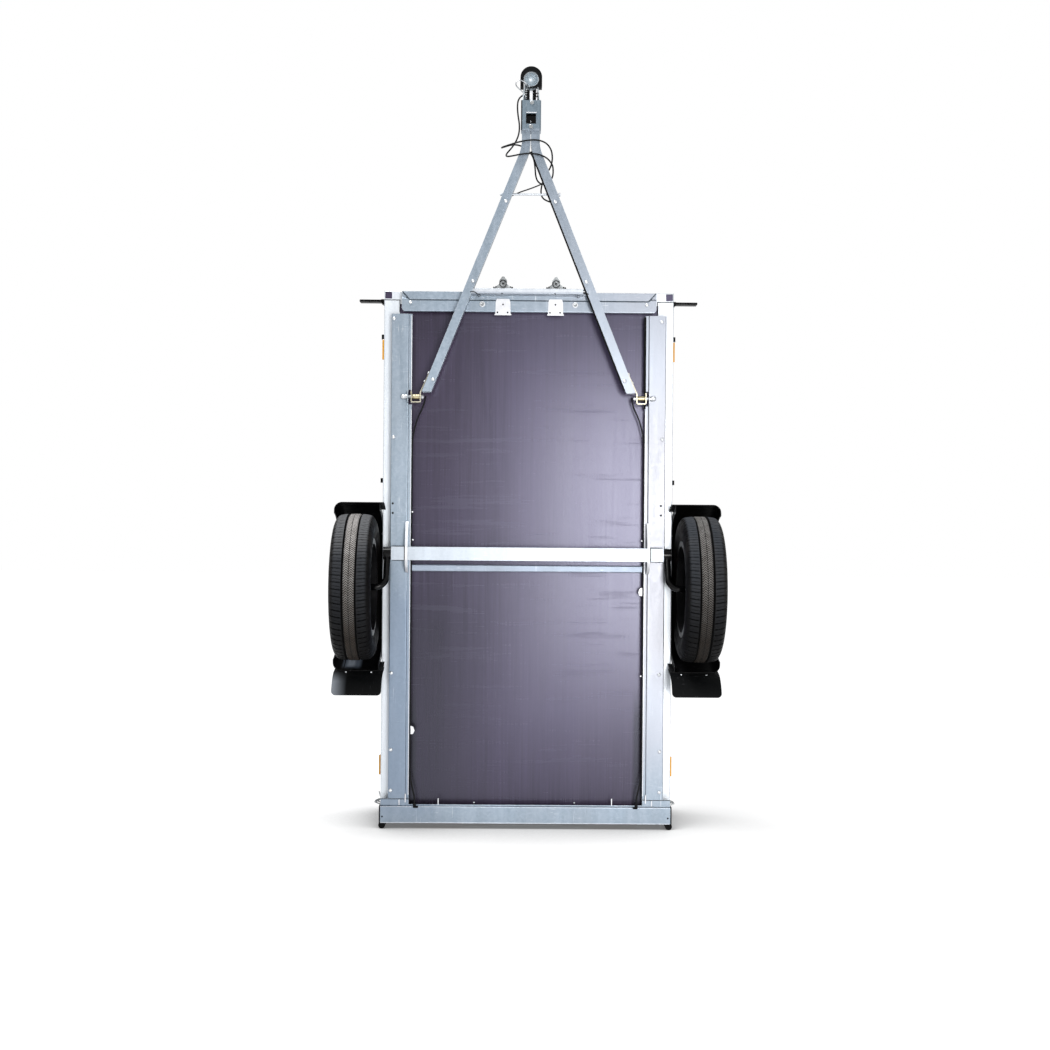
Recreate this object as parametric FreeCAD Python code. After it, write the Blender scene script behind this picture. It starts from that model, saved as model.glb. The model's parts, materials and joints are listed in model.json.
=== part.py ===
import FreeCAD
import Part
import math
import os
from FreeCAD import Vector

# Small single-axle box trailer stood upright on its tail, in millimetres.
# X runs across the trailer, Z runs forward along it (up, as it stands) and Y is
# the height above the road, less half the trailer's height, so the box opens to +Y.
# Inside the functions Y is the plain height above the road, and save() shifts it.

# Box
body_width = 1115.0
body_length = 2035.0
side_height = 350.0
sheet = 1.5
floor_thickness = 9.0
tail_clearance = 20.0
wall_flange = 60.0
front_flange = 50.0
corner_notch = 30.0
top_bead_width = 22.0
top_bead_depth = 16.0
rib_rises = (90.0, 225.0)
rib_depth = 7.0
rib_height = 44.0
rib_slope = 9.0
rib_margin = 90.0
sheet_bend = 2.0

# Running gear
tyre_diameter = 547.0
tyre_width = 151.0
tyre_wall = 9.0
rim_seat_diameter = 332.0
rim_width = 127.0
rim_flange_height = 16.0
rim_gauge = 3.0
drop_depth = 16.0
disc_gauge = 4.0
disc_offset = 30.0
bolt_circle = 100.0
wheel_bolts = 4
bolt_hole_diameter = 13.0
centre_hole_diameter = 58.0
vent_holes = 12
vent_diameter = 18.0
vent_circle = 214.0
tyre_gap = 10.0
wheel_reach = 901.0
axle_rise = 74.5
arm_trail = 126.0
axle_tube_size = 50.0
axle_tube_wall = 3.0
axle_end_inset = 9.0
arm_bar_diameter = 24.0
arm_bend = 42.0
arm_boss_diameter = 49.0
arm_boss_length = 30.0
axle_plate_gauge = 5.0
axle_plate_length = 138.0
axle_plate_tip = 60.0

# Chassis
rail_inset = 32.5
rail_flat = 67.0
rail_lip = 12.0
rail_step = 6.0
rail_height = 50.0
rail_top_flange = 28.0
rail_gauge = 2.5
rail_end_gap = 9.5
tab_length = 44.0
front_beam_inset = 71.5
front_beam_flat = 50.0
front_beam_strip = 27.0
front_beam_setback = 8.0
front_beam_step = 5.0
front_beam_lip = 14.0
front_beam_corner = 15.0
rear_beam_depth = 64.0
rear_beam_drop = 13.0
rear_beam_ledge = 28.0
rear_beam_return = 6.0
beam_cap_gauge = 5.0
cross_member_width = 25.0
cross_member_drop = 56.0
lamp_width = 180.0
lamp_height = 42.0
lamp_depth = 30.0
lamp_proud = 2.0
lamp_inset = 222.5
lamp_rim = 3.0
foot_radius = 13.0
foot_length = 48.0
foot_inset = 11.5
foot_drop = 4.0
reflector_length = 76.0
reflector_height = 34.0
reflector_depth = 7.7
reflector_rise = 40.0
front_reflector_setback = 221.0
rear_reflector_reach = 204.0
hook_rise = 48.0
hook_height = 25.0
hook_width = 18.0
front_hook_setback = 170.0
middle_hook_reach = 406.0
marker_rise = 150.0
marker_base_depth = 27.0
marker_base_length = 32.0
marker_base_height = 50.0
marker_reach = 112.0
marker_gauge = 9.0
marker_setback = 8.0
catch_width = 48.0
catch_flare = 8.0
catch_overhang = 12.0
catch_gauge = 2.5

# Drawbar
arm_width = 33.0
arm_height = 45.0
arm_wall = 2.5
arm_gap = 2.0
arm_bend_radius = 150.0
arm_insert = 24.0
arm_bend_setback = 37.0
arm_end_gap = 17.0
arm_clearance = 5.0
pivot_setback = 412.0
pivot_drop = 11.0
pin_diameter = 12.0
pin_head_diameter = 20.5
pin_collar_diameter = 18.0
pin_collar_length = 16.0
bush_diameter = 19.0
clevis_gauge = 4.0
clevis_height = 38.0
clevis_gap = 30.6
pin_reach = 10.0
strap_length = 84.0
strap_lean = 4.5
cross_bar_setback = 23.0
cross_bar_width = 22.0
cross_bar_gauge = 2.5
cross_bar_inset = 2.0
tie_rod_reach = 236.0
tie_rod_diameter = 8.0
tie_nut_length = 7.0
tie_nut_gap = 3.2
latch_spacing = 201.0
latch_base_width = 76.0
latch_base_gauge = 3.0
latch_depth = 30.0
latch_setback = 6.0
latch_width = 30.0
latch_rise = 40.0
latch_cheek = 4.0
latch_shoulder = 14.0
latch_pin_diameter = 8.0
bracket_width = 76.0
bracket_gauge = 4.0
bracket_length = 115.0
bracket_lap = 6.0
bracket_round = 7.0
window_size = 38.0
window_reach = 26.0
slot_reach = 80.0
slot_height = 8.0
recess_depth = 1.5
head_setback = 83.0
coupling_reach = 793.0
ball_diameter = 50.0
socket_wall = 4.0
socket_drop = 14.0
neck_width = 68.0
neck_front = 48.0
neck_height = 34.0
neck_round = 9.0
lock_rod_diameter = 12.0
handle_width = 26.0
handle_height = 30.0
cap_radius = 41.0
cap_height = 44.0
cap_back = 36.0
cap_forward = 6.0
cap_channel = 56.5
cap_cable_side = 5.0
cap_cable_gap = 14.0
cable_diameter = 6.0
branch_diameter = 5.0
wire_diameter = 4.0
plug_radius = 15.0
plug_offset = 12.0
holder_wall = 4.0
holder_length = 34.0
holder_reach = 20.0

# Mudguards and flaps
guard_clearance = 48.5
guard_width = 174.0
guard_gauge = 3.0
guard_skirt = 34.0
guard_corner = 30.0
guard_tongue = 14.0
guard_tongue_turn = 16.0
guard_start = 8.0
guard_end = 172.0
flap_gauge = 4.0
flap_radius = 114.0
flap_turn = 66.0
flap_lap = 9.0
flap_inner_reach = 16.0
flap_outer_gap = 4.5
flap_corner = 16.0

# Tailgate
gate_gap = 5.0
post_width = 40.0
post_depth = 36.0
post_gauge = 2.0
gate_depth = 24.0
hinge_offset = 6.0
hinge_knuckle = 5.5
hinge_pin = 3.0
hinge_leaf = 1.8
hinge_length = 90.0
hinge_lamp_gap = 12.0
bail_base_length = 62.0
bail_base_height = 60.0
bail_base_reach = 26.0
bail_rise = 200.0
bail_reach = 40.0
bail_spread = 18.0
bail_diameter = 5.0

# Running and seating clearances
run_clearance = 0.05
seat_clearance = 0.3

tyre_radius = tyre_diameter / 2
axle_height = tyre_radius + axle_rise
rail_bottom = axle_height + axle_tube_size / 2
floor_bottom = rail_bottom + rail_height + sheet
floor_top = floor_bottom + floor_thickness
overall_height = floor_top + side_height
half_body = body_width / 2
body_front = tail_clearance + body_length
half_track = half_body + tyre_gap + tyre_width / 2
wheel_station = tail_clearance + wheel_reach
axle_station = wheel_station + arm_trail
rail_outer = half_body - rail_inset
rail_inner = rail_outer - rail_flat
lip_inner = rail_inner - rail_lip
axle_tube_half = rail_outer - axle_end_inset
rear_beam_bottom = rail_bottom - rear_beam_drop
rear_beam_front = tail_clearance + rear_beam_depth
lamp_low = rear_beam_bottom + lamp_rim * 3
lamp_centre = half_body - lamp_inset
beam_front = body_front - front_beam_setback
beam_rear = beam_front - front_beam_strip - front_beam_flat
pivot_height = rail_bottom - pivot_drop
pivot_station = body_front - pivot_setback
arm_top = rail_bottom - arm_clearance
arm_middle = arm_top - arm_height / 2
arm_bottom = arm_top - arm_height
arm_end_station = pivot_station + arm_end_gap
clevis_outer = rail_inner - pin_reach
clevis_inner = clevis_outer - clevis_gauge * 2 - clevis_gap
ball_station = body_front + coupling_reach
bracket_front = ball_station - head_setback
bracket_station = bracket_front - bracket_length
arm_top_station = bracket_station + arm_insert
arm_bend_station = bracket_station - arm_bend_setback
tie_rod_station = bracket_station - tie_rod_reach
cross_bar_station = body_front - cross_bar_setback
cross_bar_front = cross_bar_station + cross_bar_width
cable_height = rail_bottom + rail_gauge + cable_diameter / 2
guard_radius = tyre_radius + guard_clearance
guard_inner = half_body + seat_clearance
guard_outer = guard_inner + guard_width
hinge_height = floor_bottom - sheet
hinge_station = tail_clearance - hinge_offset
hinge_spread = lamp_centre - lamp_width / 2 - lamp_rim - hinge_lamp_gap - hinge_length / 2
gate_half = half_body - post_width - gate_gap


def save(name, shape):
    """Shift a shape from road height to the part's frame and write it."""
    moved = shape.copy()
    moved.translate(Vector(0, -overall_height / 2, 0))
    moved.exportStep("parts/" + name + ".step")


def block(low, high):
    """A box between two corners, each given as (x, height, station)."""
    size = [high[i] - low[i] for i in range(3)]
    return Part.makeBox(size[0], size[1], size[2], Vector(*low))


def rod(start, end, radius):
    """A round bar from one point to another."""
    line = Vector(*end) - Vector(*start)
    return Part.makeCylinder(radius, line.Length, Vector(*start), line)


def mirrored(shape):
    return shape.mirror(Vector(0, 0, 0), Vector(1, 0, 0))


def pair(shape):
    """Both sides of a piece, as one shape of separate solids."""
    return Part.makeCompound([shape, mirrored(shape)])


def unit(start, end):
    length = math.hypot(end[0] - start[0], end[1] - start[1])
    return ((end[0] - start[0]) / length, (end[1] - start[1]) / length)


def offset_points(points, gauge):
    """The same open outline moved sideways by the gauge, to the left of its run."""
    moved = []
    for i, point in enumerate(points):
        before = unit(points[i - 1], point) if i else unit(point, points[1])
        after = unit(point, points[i + 1]) if i < len(points) - 1 else before
        share = 1 + before[0] * after[0] + before[1] * after[1]
        moved.append((point[0] - gauge * (before[1] + after[1]) / share,
                      point[1] + gauge * (before[0] + after[0]) / share))
    return moved


def rounded_outline(points, radii, place):
    """A closed wire through 2D points with an arc at each corner that has a radius."""
    starts, ends, middles = [], [], []
    count = len(points)
    for i, point in enumerate(points):
        before = unit(point, points[i - 1])
        after = unit(point, points[(i + 1) % count])
        if radii[i] <= 0:
            starts.append(point)
            ends.append(point)
            middles.append(None)
            continue
        cosine = before[0] * after[0] + before[1] * after[1]
        half = math.acos(max(-1, min(1, cosine))) / 2
        reach = radii[i] / math.tan(half)
        starts.append((point[0] + before[0] * reach, point[1] + before[1] * reach))
        ends.append((point[0] + after[0] * reach, point[1] + after[1] * reach))
        inward = unit((0, 0), (before[0] + after[0], before[1] + after[1]))
        depth = radii[i] / math.sin(half) - radii[i]
        middles.append((point[0] + inward[0] * depth, point[1] + inward[1] * depth))
    edges = []
    for i in range(count):
        if middles[i]:
            arc = Part.Arc(place(starts[i]), place(middles[i]), place(ends[i]))
            edges.append(arc.toShape())
        line_start = place(ends[i])
        line_end = place(starts[(i + 1) % count])
        if line_start.distanceToPoint(line_end) > 1e-6:
            edges.append(Part.makeLine(line_start, line_end))
    return Part.Wire(edges)


def fold(points, gauge, bend, place):
    """The face of a folded sheet's section: an open outline given thickness and bends."""
    other = offset_points(points, gauge)
    near, far = [0.0], [0.0]
    for i in range(1, len(points) - 1):
        before = unit(points[i - 1], points[i])
        after = unit(points[i], points[i + 1])
        turns_left = before[0] * after[1] - before[1] * after[0] > 0
        near.append(bend + gauge if turns_left else bend)
        far.append(bend if turns_left else bend + gauge)
    outline = points + other[::-1]
    radii = near + [0.0, 0.0] + far[:0:-1] + [0.0]
    return Part.Face(rounded_outline(outline, radii, place))


def along_z(points, gauge, bend, low, high):
    """A folded section drawn in (x, height), run between two stations."""
    face = fold(points, gauge, bend, lambda p: Vector(p[0], p[1], low))
    return face.extrude(Vector(0, 0, high - low))


def along_x(points, gauge, bend, low, high):
    """A folded section drawn in (height, station), run across between two x places."""
    face = fold(points, gauge, bend, lambda p: Vector(low, p[0], p[1]))
    return face.extrude(Vector(high - low, 0, 0))


def along_y(points, gauge, bend, low, high):
    """A folded section drawn in (x, station), run up between two heights."""
    face = fold(points, gauge, bend, lambda p: Vector(p[0], low, p[1]))
    return face.extrude(Vector(0, high - low, 0))


def plate(points, radii, place, thickness):
    """A flat plate from a rounded outline, thickened along a vector."""
    return Part.Face(rounded_outline(points, radii, place)).extrude(thickness)


def turned(points, centre_x, height, station):
    """A solid turned about an axis along X from (x, radius) points."""
    spots = [Vector(centre_x + x, height + r, station) for x, r in points]
    face = Part.Face(Part.makePolygon(spots + spots[:1]))
    return face.revolve(Vector(0, height, station), Vector(1, 0, 0), 360)


def cord_tube(points, diameter):
    """A round cord: straight runs joined by tangent arcs."""
    spots = [Vector(*point) for point in points]
    edges = []
    last = spots[0]
    for i in range(1, len(spots) - 1):
        into = spots[i] - spots[i - 1]
        out = spots[i + 1] - spots[i]
        turn = into.getAngle(out)
        radius = 0.45 * min(into.Length, out.Length) / math.tan(turn / 2)
        reach = radius * math.tan(turn / 2)
        start = spots[i] - into.normalize() * reach
        end = spots[i] + out.normalize() * reach
        inward = (end - spots[i]) + (start - spots[i])
        depth = radius / math.cos(turn / 2) - radius
        middle = spots[i] + inward.normalize() * depth
        edges.append(Part.makeLine(last, start))
        edges.append(Part.Arc(start, middle, end).toShape())
        last = end
    edges.append(Part.makeLine(last, spots[-1]))
    path = Part.Wire(edges)
    circle = Part.makeCircle(diameter / 2, spots[0], spots[1] - spots[0])
    return path.makePipeShell([Part.Wire(circle)], True, True)


def swept_tube(path, width, height, start, direction, wall):
    """A rectangular tube swept along a path in the X-Z plane."""
    solids = []
    for inset in (0.0, wall):
        across = Vector(direction.z, 0, -direction.x) * (width / 2 - inset)
        upward = Vector(0, height / 2 - inset, 0)
        corners = [start + across * i + upward * j
                   for i, j in ((1, 1), (-1, 1), (-1, -1), (1, -1))]
        outline = Part.makePolygon(corners + corners[:1])
        solids.append(path.makePipeShell([outline], True, False))
    return solids[0], solids[1]


# Box

def floor_board():
    rear = tail_clearance + post_depth + seat_clearance
    inset = sheet + seat_clearance
    board = block((-half_body + inset, floor_bottom, rear),
                  (half_body - inset, floor_top, body_front - inset))
    edges = [e for e in board.Edges if e.BoundBox.YMax < floor_bottom + 0.1]
    return board.makeChamfer(sheet_bend, edges)


def pressing(low, high, place):
    """A wall's pressed rib: the hollow side to cut away and the backing to add."""
    solids = []
    for grow, depth in ((sheet, rib_depth + sheet), (0.0, rib_depth)):
        rings = []
        for inset, level in ((-grow, 0.0), (rib_slope - grow / 2, depth)):
            corners = [(low[0] + inset, low[1] + inset), (high[0] - inset, low[1] + inset),
                       (high[0] - inset, high[1] - inset), (low[0] + inset, high[1] - inset)]
            spots = [place(across, rise, level) for across, rise in corners]
            rings.append(Part.makePolygon(spots + spots[:1]))
        solids.append(Part.makeLoft(rings, True, True))
    return solids[0], solids[1]


def press_ribs(wall, low, high, place):
    """Press every rib of the list into a flat wall, between two places along it."""
    for rise in rib_rises:
        bottom = floor_top + rise
        backing, hollow = pressing((low, bottom), (high, bottom + rib_height), place)
        wall = wall.fuse(backing).cut(hollow)
    return wall.removeSplitter()


def side_wall():
    """Right-hand side wall: one folded sheet, flange, ribs and top bead."""
    base = floor_bottom - sheet
    points = [(half_body - wall_flange, base), (half_body, base), (half_body, overall_height),
              (half_body - top_bead_width, overall_height),
              (half_body - top_bead_width, overall_height - top_bead_depth)]
    rear = tail_clearance + post_depth
    wall = along_z(points, sheet, sheet_bend, rear, body_front)
    notch = block((half_body - wall_flange - 1, base - 1, body_front - corner_notch),
                  (half_body - sheet - sheet_bend, base + sheet, body_front + 1))
    return press_ribs(wall.cut(notch), rear + rib_margin, body_front - rib_margin,
                      lambda along, rise, depth: Vector(half_body - depth, rise, along))


def front_wall():
    """Front wall between the side walls, with a flange, ribs and a top bead."""
    base = floor_bottom - sheet
    points = [(base, body_front - front_flange), (base, body_front),
              (overall_height, body_front), (overall_height, body_front - top_bead_width),
              (overall_height - top_bead_depth, body_front - top_bead_width)]
    reach = half_body - sheet - seat_clearance
    wall = along_x(points[::-1], sheet, sheet_bend, -reach, reach)
    notch = block((half_body - corner_notch, base - 1, body_front - front_flange - 1),
                  (half_body, base + sheet, body_front - sheet - sheet_bend))
    wall = press_ribs(wall.cut(pair(notch)), rib_margin - half_body, half_body - rib_margin,
                      lambda along, rise, depth: Vector(along, rise, body_front - depth))
    trimmed = wall.cut(side_wall()).cut(mirrored(side_wall()))
    return max(trimmed.Solids, key=lambda solid: solid.Volume)


def rear_post():
    """Right-hand rear corner post: a folded channel beside the tailgate."""
    inner = half_body - post_width
    front = tail_clearance + post_depth
    points = [(inner, front), (inner, tail_clearance), (half_body, tail_clearance),
              (half_body, front - seat_clearance)]
    foot = floor_bottom - sheet
    return along_y(points, post_gauge, sheet_bend, foot, overall_height)


# Chassis

def rail():
    """Right-hand rail: open folded profile with a stepped inner lip and a pin tab."""
    step_top = rail_bottom + rail_step
    points = [(rail_outer - rail_top_flange, rail_bottom + rail_height),
              (rail_outer, rail_bottom + rail_height), (rail_outer, rail_bottom),
              (rail_inner, rail_bottom), (rail_inner, step_top), (lip_inner, step_top)]
    low = tail_clearance + post_gauge + seat_clearance
    high = beam_rear - rail_end_gap
    run = along_z(points[::-1], rail_gauge, 1.0, low, high)
    notch_half = clevis_height * 0.75
    notch = block((lip_inner - 1, step_top - rail_gauge, pivot_station - notch_half),
                  (rail_inner - run_clearance, step_top + rail_gauge,
                   pivot_station + notch_half))
    tab = block((rail_inner, pivot_height - clevis_height / 2, pivot_station - tab_length / 2),
                (rail_inner + rail_gauge, rail_bottom + rail_gauge,
                 pivot_station + tab_length / 2))
    hole = rod((rail_inner - pin_reach, pivot_height, pivot_station),
               (rail_inner + pin_reach, pivot_height, pivot_station), pin_diameter / 2)
    return run.cut(notch).fuse(tab).removeSplitter().cut(hole)


def front_beam():
    """Front cross member: folded section with a joggle along its underside."""
    top = rail_bottom + rail_height
    low = rail_bottom
    fold_line = beam_rear + front_beam_flat
    high = low + front_beam_step
    points = [(low + front_beam_lip, beam_rear), (low, beam_rear), (low, fold_line),
              (high, fold_line + front_beam_step * 0.6), (high, beam_front),
              (top, beam_front), (top, beam_front - rail_top_flange)]
    half = half_body - front_beam_inset
    beam = along_x(points[::-1], rail_gauge, 1.5, -half, half)
    corner = Part.makeBox(front_beam_corner, rail_height + 4, front_beam_corner,
                          Vector(half - front_beam_corner, low - 2, beam_rear))
    round_off = rod((half - front_beam_corner, low - 4, beam_rear + front_beam_corner),
                    (half - front_beam_corner, top + 4, beam_rear + front_beam_corner),
                    front_beam_corner)
    return beam.cut(pair(corner.cut(round_off)))


def rear_beam():
    """Rear lamp carrier: folded trough open to the floor, with a ledge under each rail."""
    low = rear_beam_bottom
    ledge = rail_bottom - post_gauge
    points = [(floor_bottom - sheet, tail_clearance), (low, tail_clearance),
              (low, rear_beam_front), (ledge, rear_beam_front + 2),
              (ledge, rear_beam_front + rear_beam_ledge)]
    half = half_body - beam_cap_gauge
    beam = along_x(points[::-1], post_gauge, sheet_bend, -half, half)
    windows = [block((side * lamp_centre - lamp_width / 2, lamp_low, tail_clearance - 5),
                     (side * lamp_centre + lamp_width / 2, lamp_low + lamp_height,
                      tail_clearance + 10)) for side in (-1, 1)]
    between_rails = block((-lip_inner, ledge - post_gauge * 2,
                           rear_beam_front + rear_beam_return),
                          (lip_inner, ledge + post_gauge * 2,
                           rear_beam_front + rear_beam_ledge + 1))
    return beam.cut(Part.makeCompound(windows + [between_rails]))


def beam_cap():
    """Plastic cap that closes the right-hand end of the rear beam."""
    low = rear_beam_bottom - 1
    outer = half_body
    disc = block((outer - beam_cap_gauge, low, tail_clearance),
                 (outer, floor_bottom - sheet, rear_beam_front + 1))
    edges = [e for e in disc.Edges if abs(e.Vertexes[0].X - e.Vertexes[1].X) > 1]
    return disc.makeFillet(4.0, edges)


def near_foot():
    """Round rubber foot, its flat side under the rear beam's lower corner."""
    x = half_body - foot_inset
    low = rear_beam_bottom - foot_drop
    foot = rod((x, low, foot_radius), (x, low + foot_length, foot_radius), foot_radius)
    keep_out = block((x - foot_radius, low - 1, tail_clearance),
                     (x + foot_radius, low + foot_length + 1, tail_clearance + foot_radius))
    return foot.cut(keep_out)


def far_foot():
    """The same rubber foot on the top corner of the rear post."""
    x = half_body - foot_inset
    foot = rod((x, overall_height - foot_length, foot_radius),
               (x, overall_height, foot_radius), foot_radius)
    keep_out = block((x - foot_radius, overall_height - foot_length - 1, tail_clearance),
                     (x + foot_radius, overall_height + 1, tail_clearance + foot_radius))
    return foot.cut(keep_out)


def cross_member():
    """Folded channel across the rails behind the axle, under the floor."""
    rear = axle_station - cross_member_drop - cross_member_width / 2
    low = rail_bottom + rail_step + rail_gauge
    points = [(floor_bottom, rear), (low, rear), (low, rear + cross_member_width),
              (floor_bottom, rear + cross_member_width)]
    reach = rail_outer - rail_top_flange - 5
    return along_x(points[::-1], rail_gauge, 1.0, -reach, reach)


def axle_tube():
    """Square torsion-axle tube."""
    solids = []
    for inset, extra in ((0.0, 0.0), (axle_tube_wall, 1.0)):
        half = axle_tube_size / 2 - inset
        reach = axle_tube_half + extra
        solids.append(block((-reach, axle_height - half, axle_station - half),
                            (reach, axle_height + half, axle_station + half)))
    return solids[0].cut(solids[1])


def axle_plate():
    """Right-hand axle plate: a tapered plate on edge, the tube let into it."""
    x = rail_inner
    long_half = axle_plate_length / 2
    tip_half = axle_plate_tip / 2
    low = axle_height - axle_tube_size / 2 - 4
    outline = [(rail_bottom, axle_station - long_half), (rail_bottom, axle_station + long_half),
               (rail_bottom - 18, axle_station + long_half), (low, axle_station + tip_half),
               (low, axle_station - tip_half), (rail_bottom - 18, axle_station - long_half)]
    piece = plate(outline, [0, 0, 6, 6, 6, 6], lambda p: Vector(x, p[0], p[1]),
                  Vector(axle_plate_gauge, 0, 0))
    half = axle_tube_size / 2
    slot = block((x - 1, axle_height - half, axle_station - half),
                 (x + 10, axle_height + half + 1, axle_station + half))
    return piece.cut(slot)


def swing_arm():
    """Right-hand swing arm: boss on the tube's end and a bar bent out to the hub."""
    x = axle_tube_half + seat_clearance
    boss = rod((x, axle_height, axle_station), (x + arm_boss_length, axle_height, axle_station),
               arm_boss_diameter / 2)
    centre = x + arm_boss_length / 2
    start = Vector(centre, axle_height, axle_station)
    corner = Vector(centre, tyre_radius, wheel_station)
    trail = (corner - start).normalize()
    bend_start = corner - trail * arm_bend
    bend_end = corner + Vector(arm_bend, 0, 0)
    middle = corner + (Vector(1, 0, 0) - trail) * arm_bend * (1 - math.sqrt(0.5))
    end = Vector(half_track + disc_offset, tyre_radius, wheel_station)
    path = Part.Wire([Part.makeLine(start, bend_start),
                      Part.Arc(bend_start, middle, bend_end).toShape(),
                      Part.makeLine(bend_end, end)])
    circle = Part.Wire(Part.makeCircle(arm_bar_diameter / 2, start, trail))
    bar = path.makePipeShell([circle], True, True)
    return boss.fuse(bar).removeSplitter()


# Wheels

def tyre():
    """Right-hand tyre: hollow casing, open to the rim."""
    half = tyre_width / 2
    bead = rim_seat_diameter / 2
    crown = tyre_radius

    def spot(x, r):
        return Vector(half_track + x, tyre_radius + r, wheel_station)

    shoulder = half * 0.80
    drop = 9.0
    bulge = (bead + crown) / 2 - 4
    foot = rim_width / 2 - rim_gauge - seat_clearance
    edges = [
        Part.Arc(spot(-shoulder, crown - drop), spot(0, crown), spot(shoulder, crown - drop)),
        Part.Arc(spot(shoulder, crown - drop), spot(half, bulge), spot(foot, bead + 16)),
        Part.LineSegment(spot(foot, bead + 16), spot(foot, bead)),
        Part.LineSegment(spot(foot, bead), spot(foot - 14, bead)),
        Part.LineSegment(spot(foot - 14, bead), spot(foot - 14, bead + 16)),
        Part.Arc(spot(foot - 14, bead + 16), spot(half - tyre_wall, bulge),
                 spot(shoulder - 6, crown - drop - tyre_wall)),
        Part.Arc(spot(shoulder - 6, crown - drop - tyre_wall), spot(0, crown - tyre_wall - 2),
                 spot(-shoulder + 6, crown - drop - tyre_wall)),
        Part.Arc(spot(-shoulder + 6, crown - drop - tyre_wall), spot(-half + tyre_wall, bulge),
                 spot(-foot + 14, bead + 16)),
        Part.LineSegment(spot(-foot + 14, bead + 16), spot(-foot + 14, bead)),
        Part.LineSegment(spot(-foot + 14, bead), spot(-foot, bead)),
        Part.LineSegment(spot(-foot, bead), spot(-foot, bead + 16)),
        Part.Arc(spot(-foot, bead + 16), spot(-half, bulge), spot(-shoulder, crown - drop)),
    ]
    face = Part.Face(Part.Wire([edge.toShape() for edge in edges]))
    return face.revolve(Vector(0, tyre_radius, wheel_station), Vector(1, 0, 0), 360)


def rim():
    """Right-hand steel rim: barrel with a drop centre, and a dished disc."""
    seat = rim_seat_diameter / 2
    half = rim_width / 2
    outer = [(-half, seat + rim_flange_height), (-half, seat), (-half + 24, seat),
             (-half + 36, seat - drop_depth), (half - 44, seat - drop_depth),
             (half - 30, seat), (half, seat), (half, seat + rim_flange_height)]
    outer[1] = (-half, seat - seat_clearance)
    lowered = [(x, r - seat_clearance) for x, r in outer]
    inner = offset_points(lowered, -rim_gauge)
    barrel = turned(lowered + inner[::-1], half_track, tyre_radius, wheel_station)
    join = seat - drop_depth - rim_gauge - seat_clearance
    face = disc_offset
    near_side = [(face, centre_hole_diameter / 2), (face, bolt_circle / 2 + 16),
                 (face + 8, bolt_circle / 2 + 26), (face + 10, vent_circle / 2 - 18),
                 (face - 2, join - 6), (face - 12, join + 1), (face - 26, join + 1)]
    other = offset_points(near_side, disc_gauge)
    disc = turned(near_side + other[::-1], half_track, tyre_radius, wheel_station)
    holes = []
    for i in range(wheel_bolts):
        angle = 2 * math.pi * (i + 0.5) / wheel_bolts
        y = tyre_radius + bolt_circle / 2 * math.cos(angle)
        z = wheel_station + bolt_circle / 2 * math.sin(angle)
        holes.append(rod((half_track, y, z), (half_track + 90, y, z), bolt_hole_diameter / 2))
    for i in range(vent_holes):
        angle = 2 * math.pi * i / vent_holes
        y = tyre_radius + vent_circle / 2 * math.cos(angle)
        z = wheel_station + vent_circle / 2 * math.sin(angle)
        holes.append(rod((half_track, y, z), (half_track + 90, y, z), vent_diameter / 2))
    disc = disc.cut(Part.makeCompound(holes))
    return barrel.fuse(disc).removeSplitter()


def hub():
    """Right-hand hub: bearing barrel, flange and grease cap, bored for the stub."""
    face = disc_offset - disc_gauge
    cap = centre_hole_diameter / 2 - 1
    bore = arm_bar_diameter / 2 + run_clearance
    outer = [(-44, bore), (-44, 31), (-4, 35), (face - 10, 35), (face - 10, 66), (face, 66),
             (face, cap), (face + 26, cap), (face + 32, cap - 8), (face + 32, 0),
             (face + 26, 0), (face + 26, bore)]
    return turned(outer, half_track, tyre_radius, wheel_station)


# Mudguards

def mudguard():
    """Right-hand mudguard: one moulded arch, skirts on both sides, tongues under the floor."""
    low = guard_radius - guard_skirt
    points = [(guard_inner, low), (guard_inner, guard_radius), (guard_outer, guard_radius),
              (guard_outer, low - guard_gauge * 3)]
    other = offset_points(points, -guard_gauge)
    outline = points + other[::-1]
    rounds = [0, 6, guard_corner, 0, 0, guard_corner - guard_gauge, 3, 0]
    start = math.radians(guard_start)

    def place(point):
        return Vector(point[0], tyre_radius + point[1] * math.sin(start),
                      wheel_station + point[1] * math.cos(start))

    face = Part.Face(rounded_outline(outline, rounds, place))
    sweep = guard_end - guard_start
    axis = Vector(0, tyre_radius, wheel_station)
    arch = face.revolve(axis, Vector(-1, 0, 0), sweep)
    tongue = [(guard_inner - guard_tongue, guard_radius - guard_gauge),
              (guard_inner - guard_tongue, guard_radius),
              (guard_inner + guard_corner, guard_radius),
              (guard_inner + guard_corner, guard_radius - guard_gauge)]
    strip = Part.Face(rounded_outline(tongue, [0, 0, 0, 0], place))
    front_tongue = strip.revolve(axis, Vector(-1, 0, 0), guard_tongue_turn)
    rear_tongue = front_tongue.copy()
    rear_tongue.rotate(axis, Vector(-1, 0, 0), sweep - guard_tongue_turn)
    return arch.fuse([front_tongue, rear_tongue]).removeSplitter()


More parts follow.
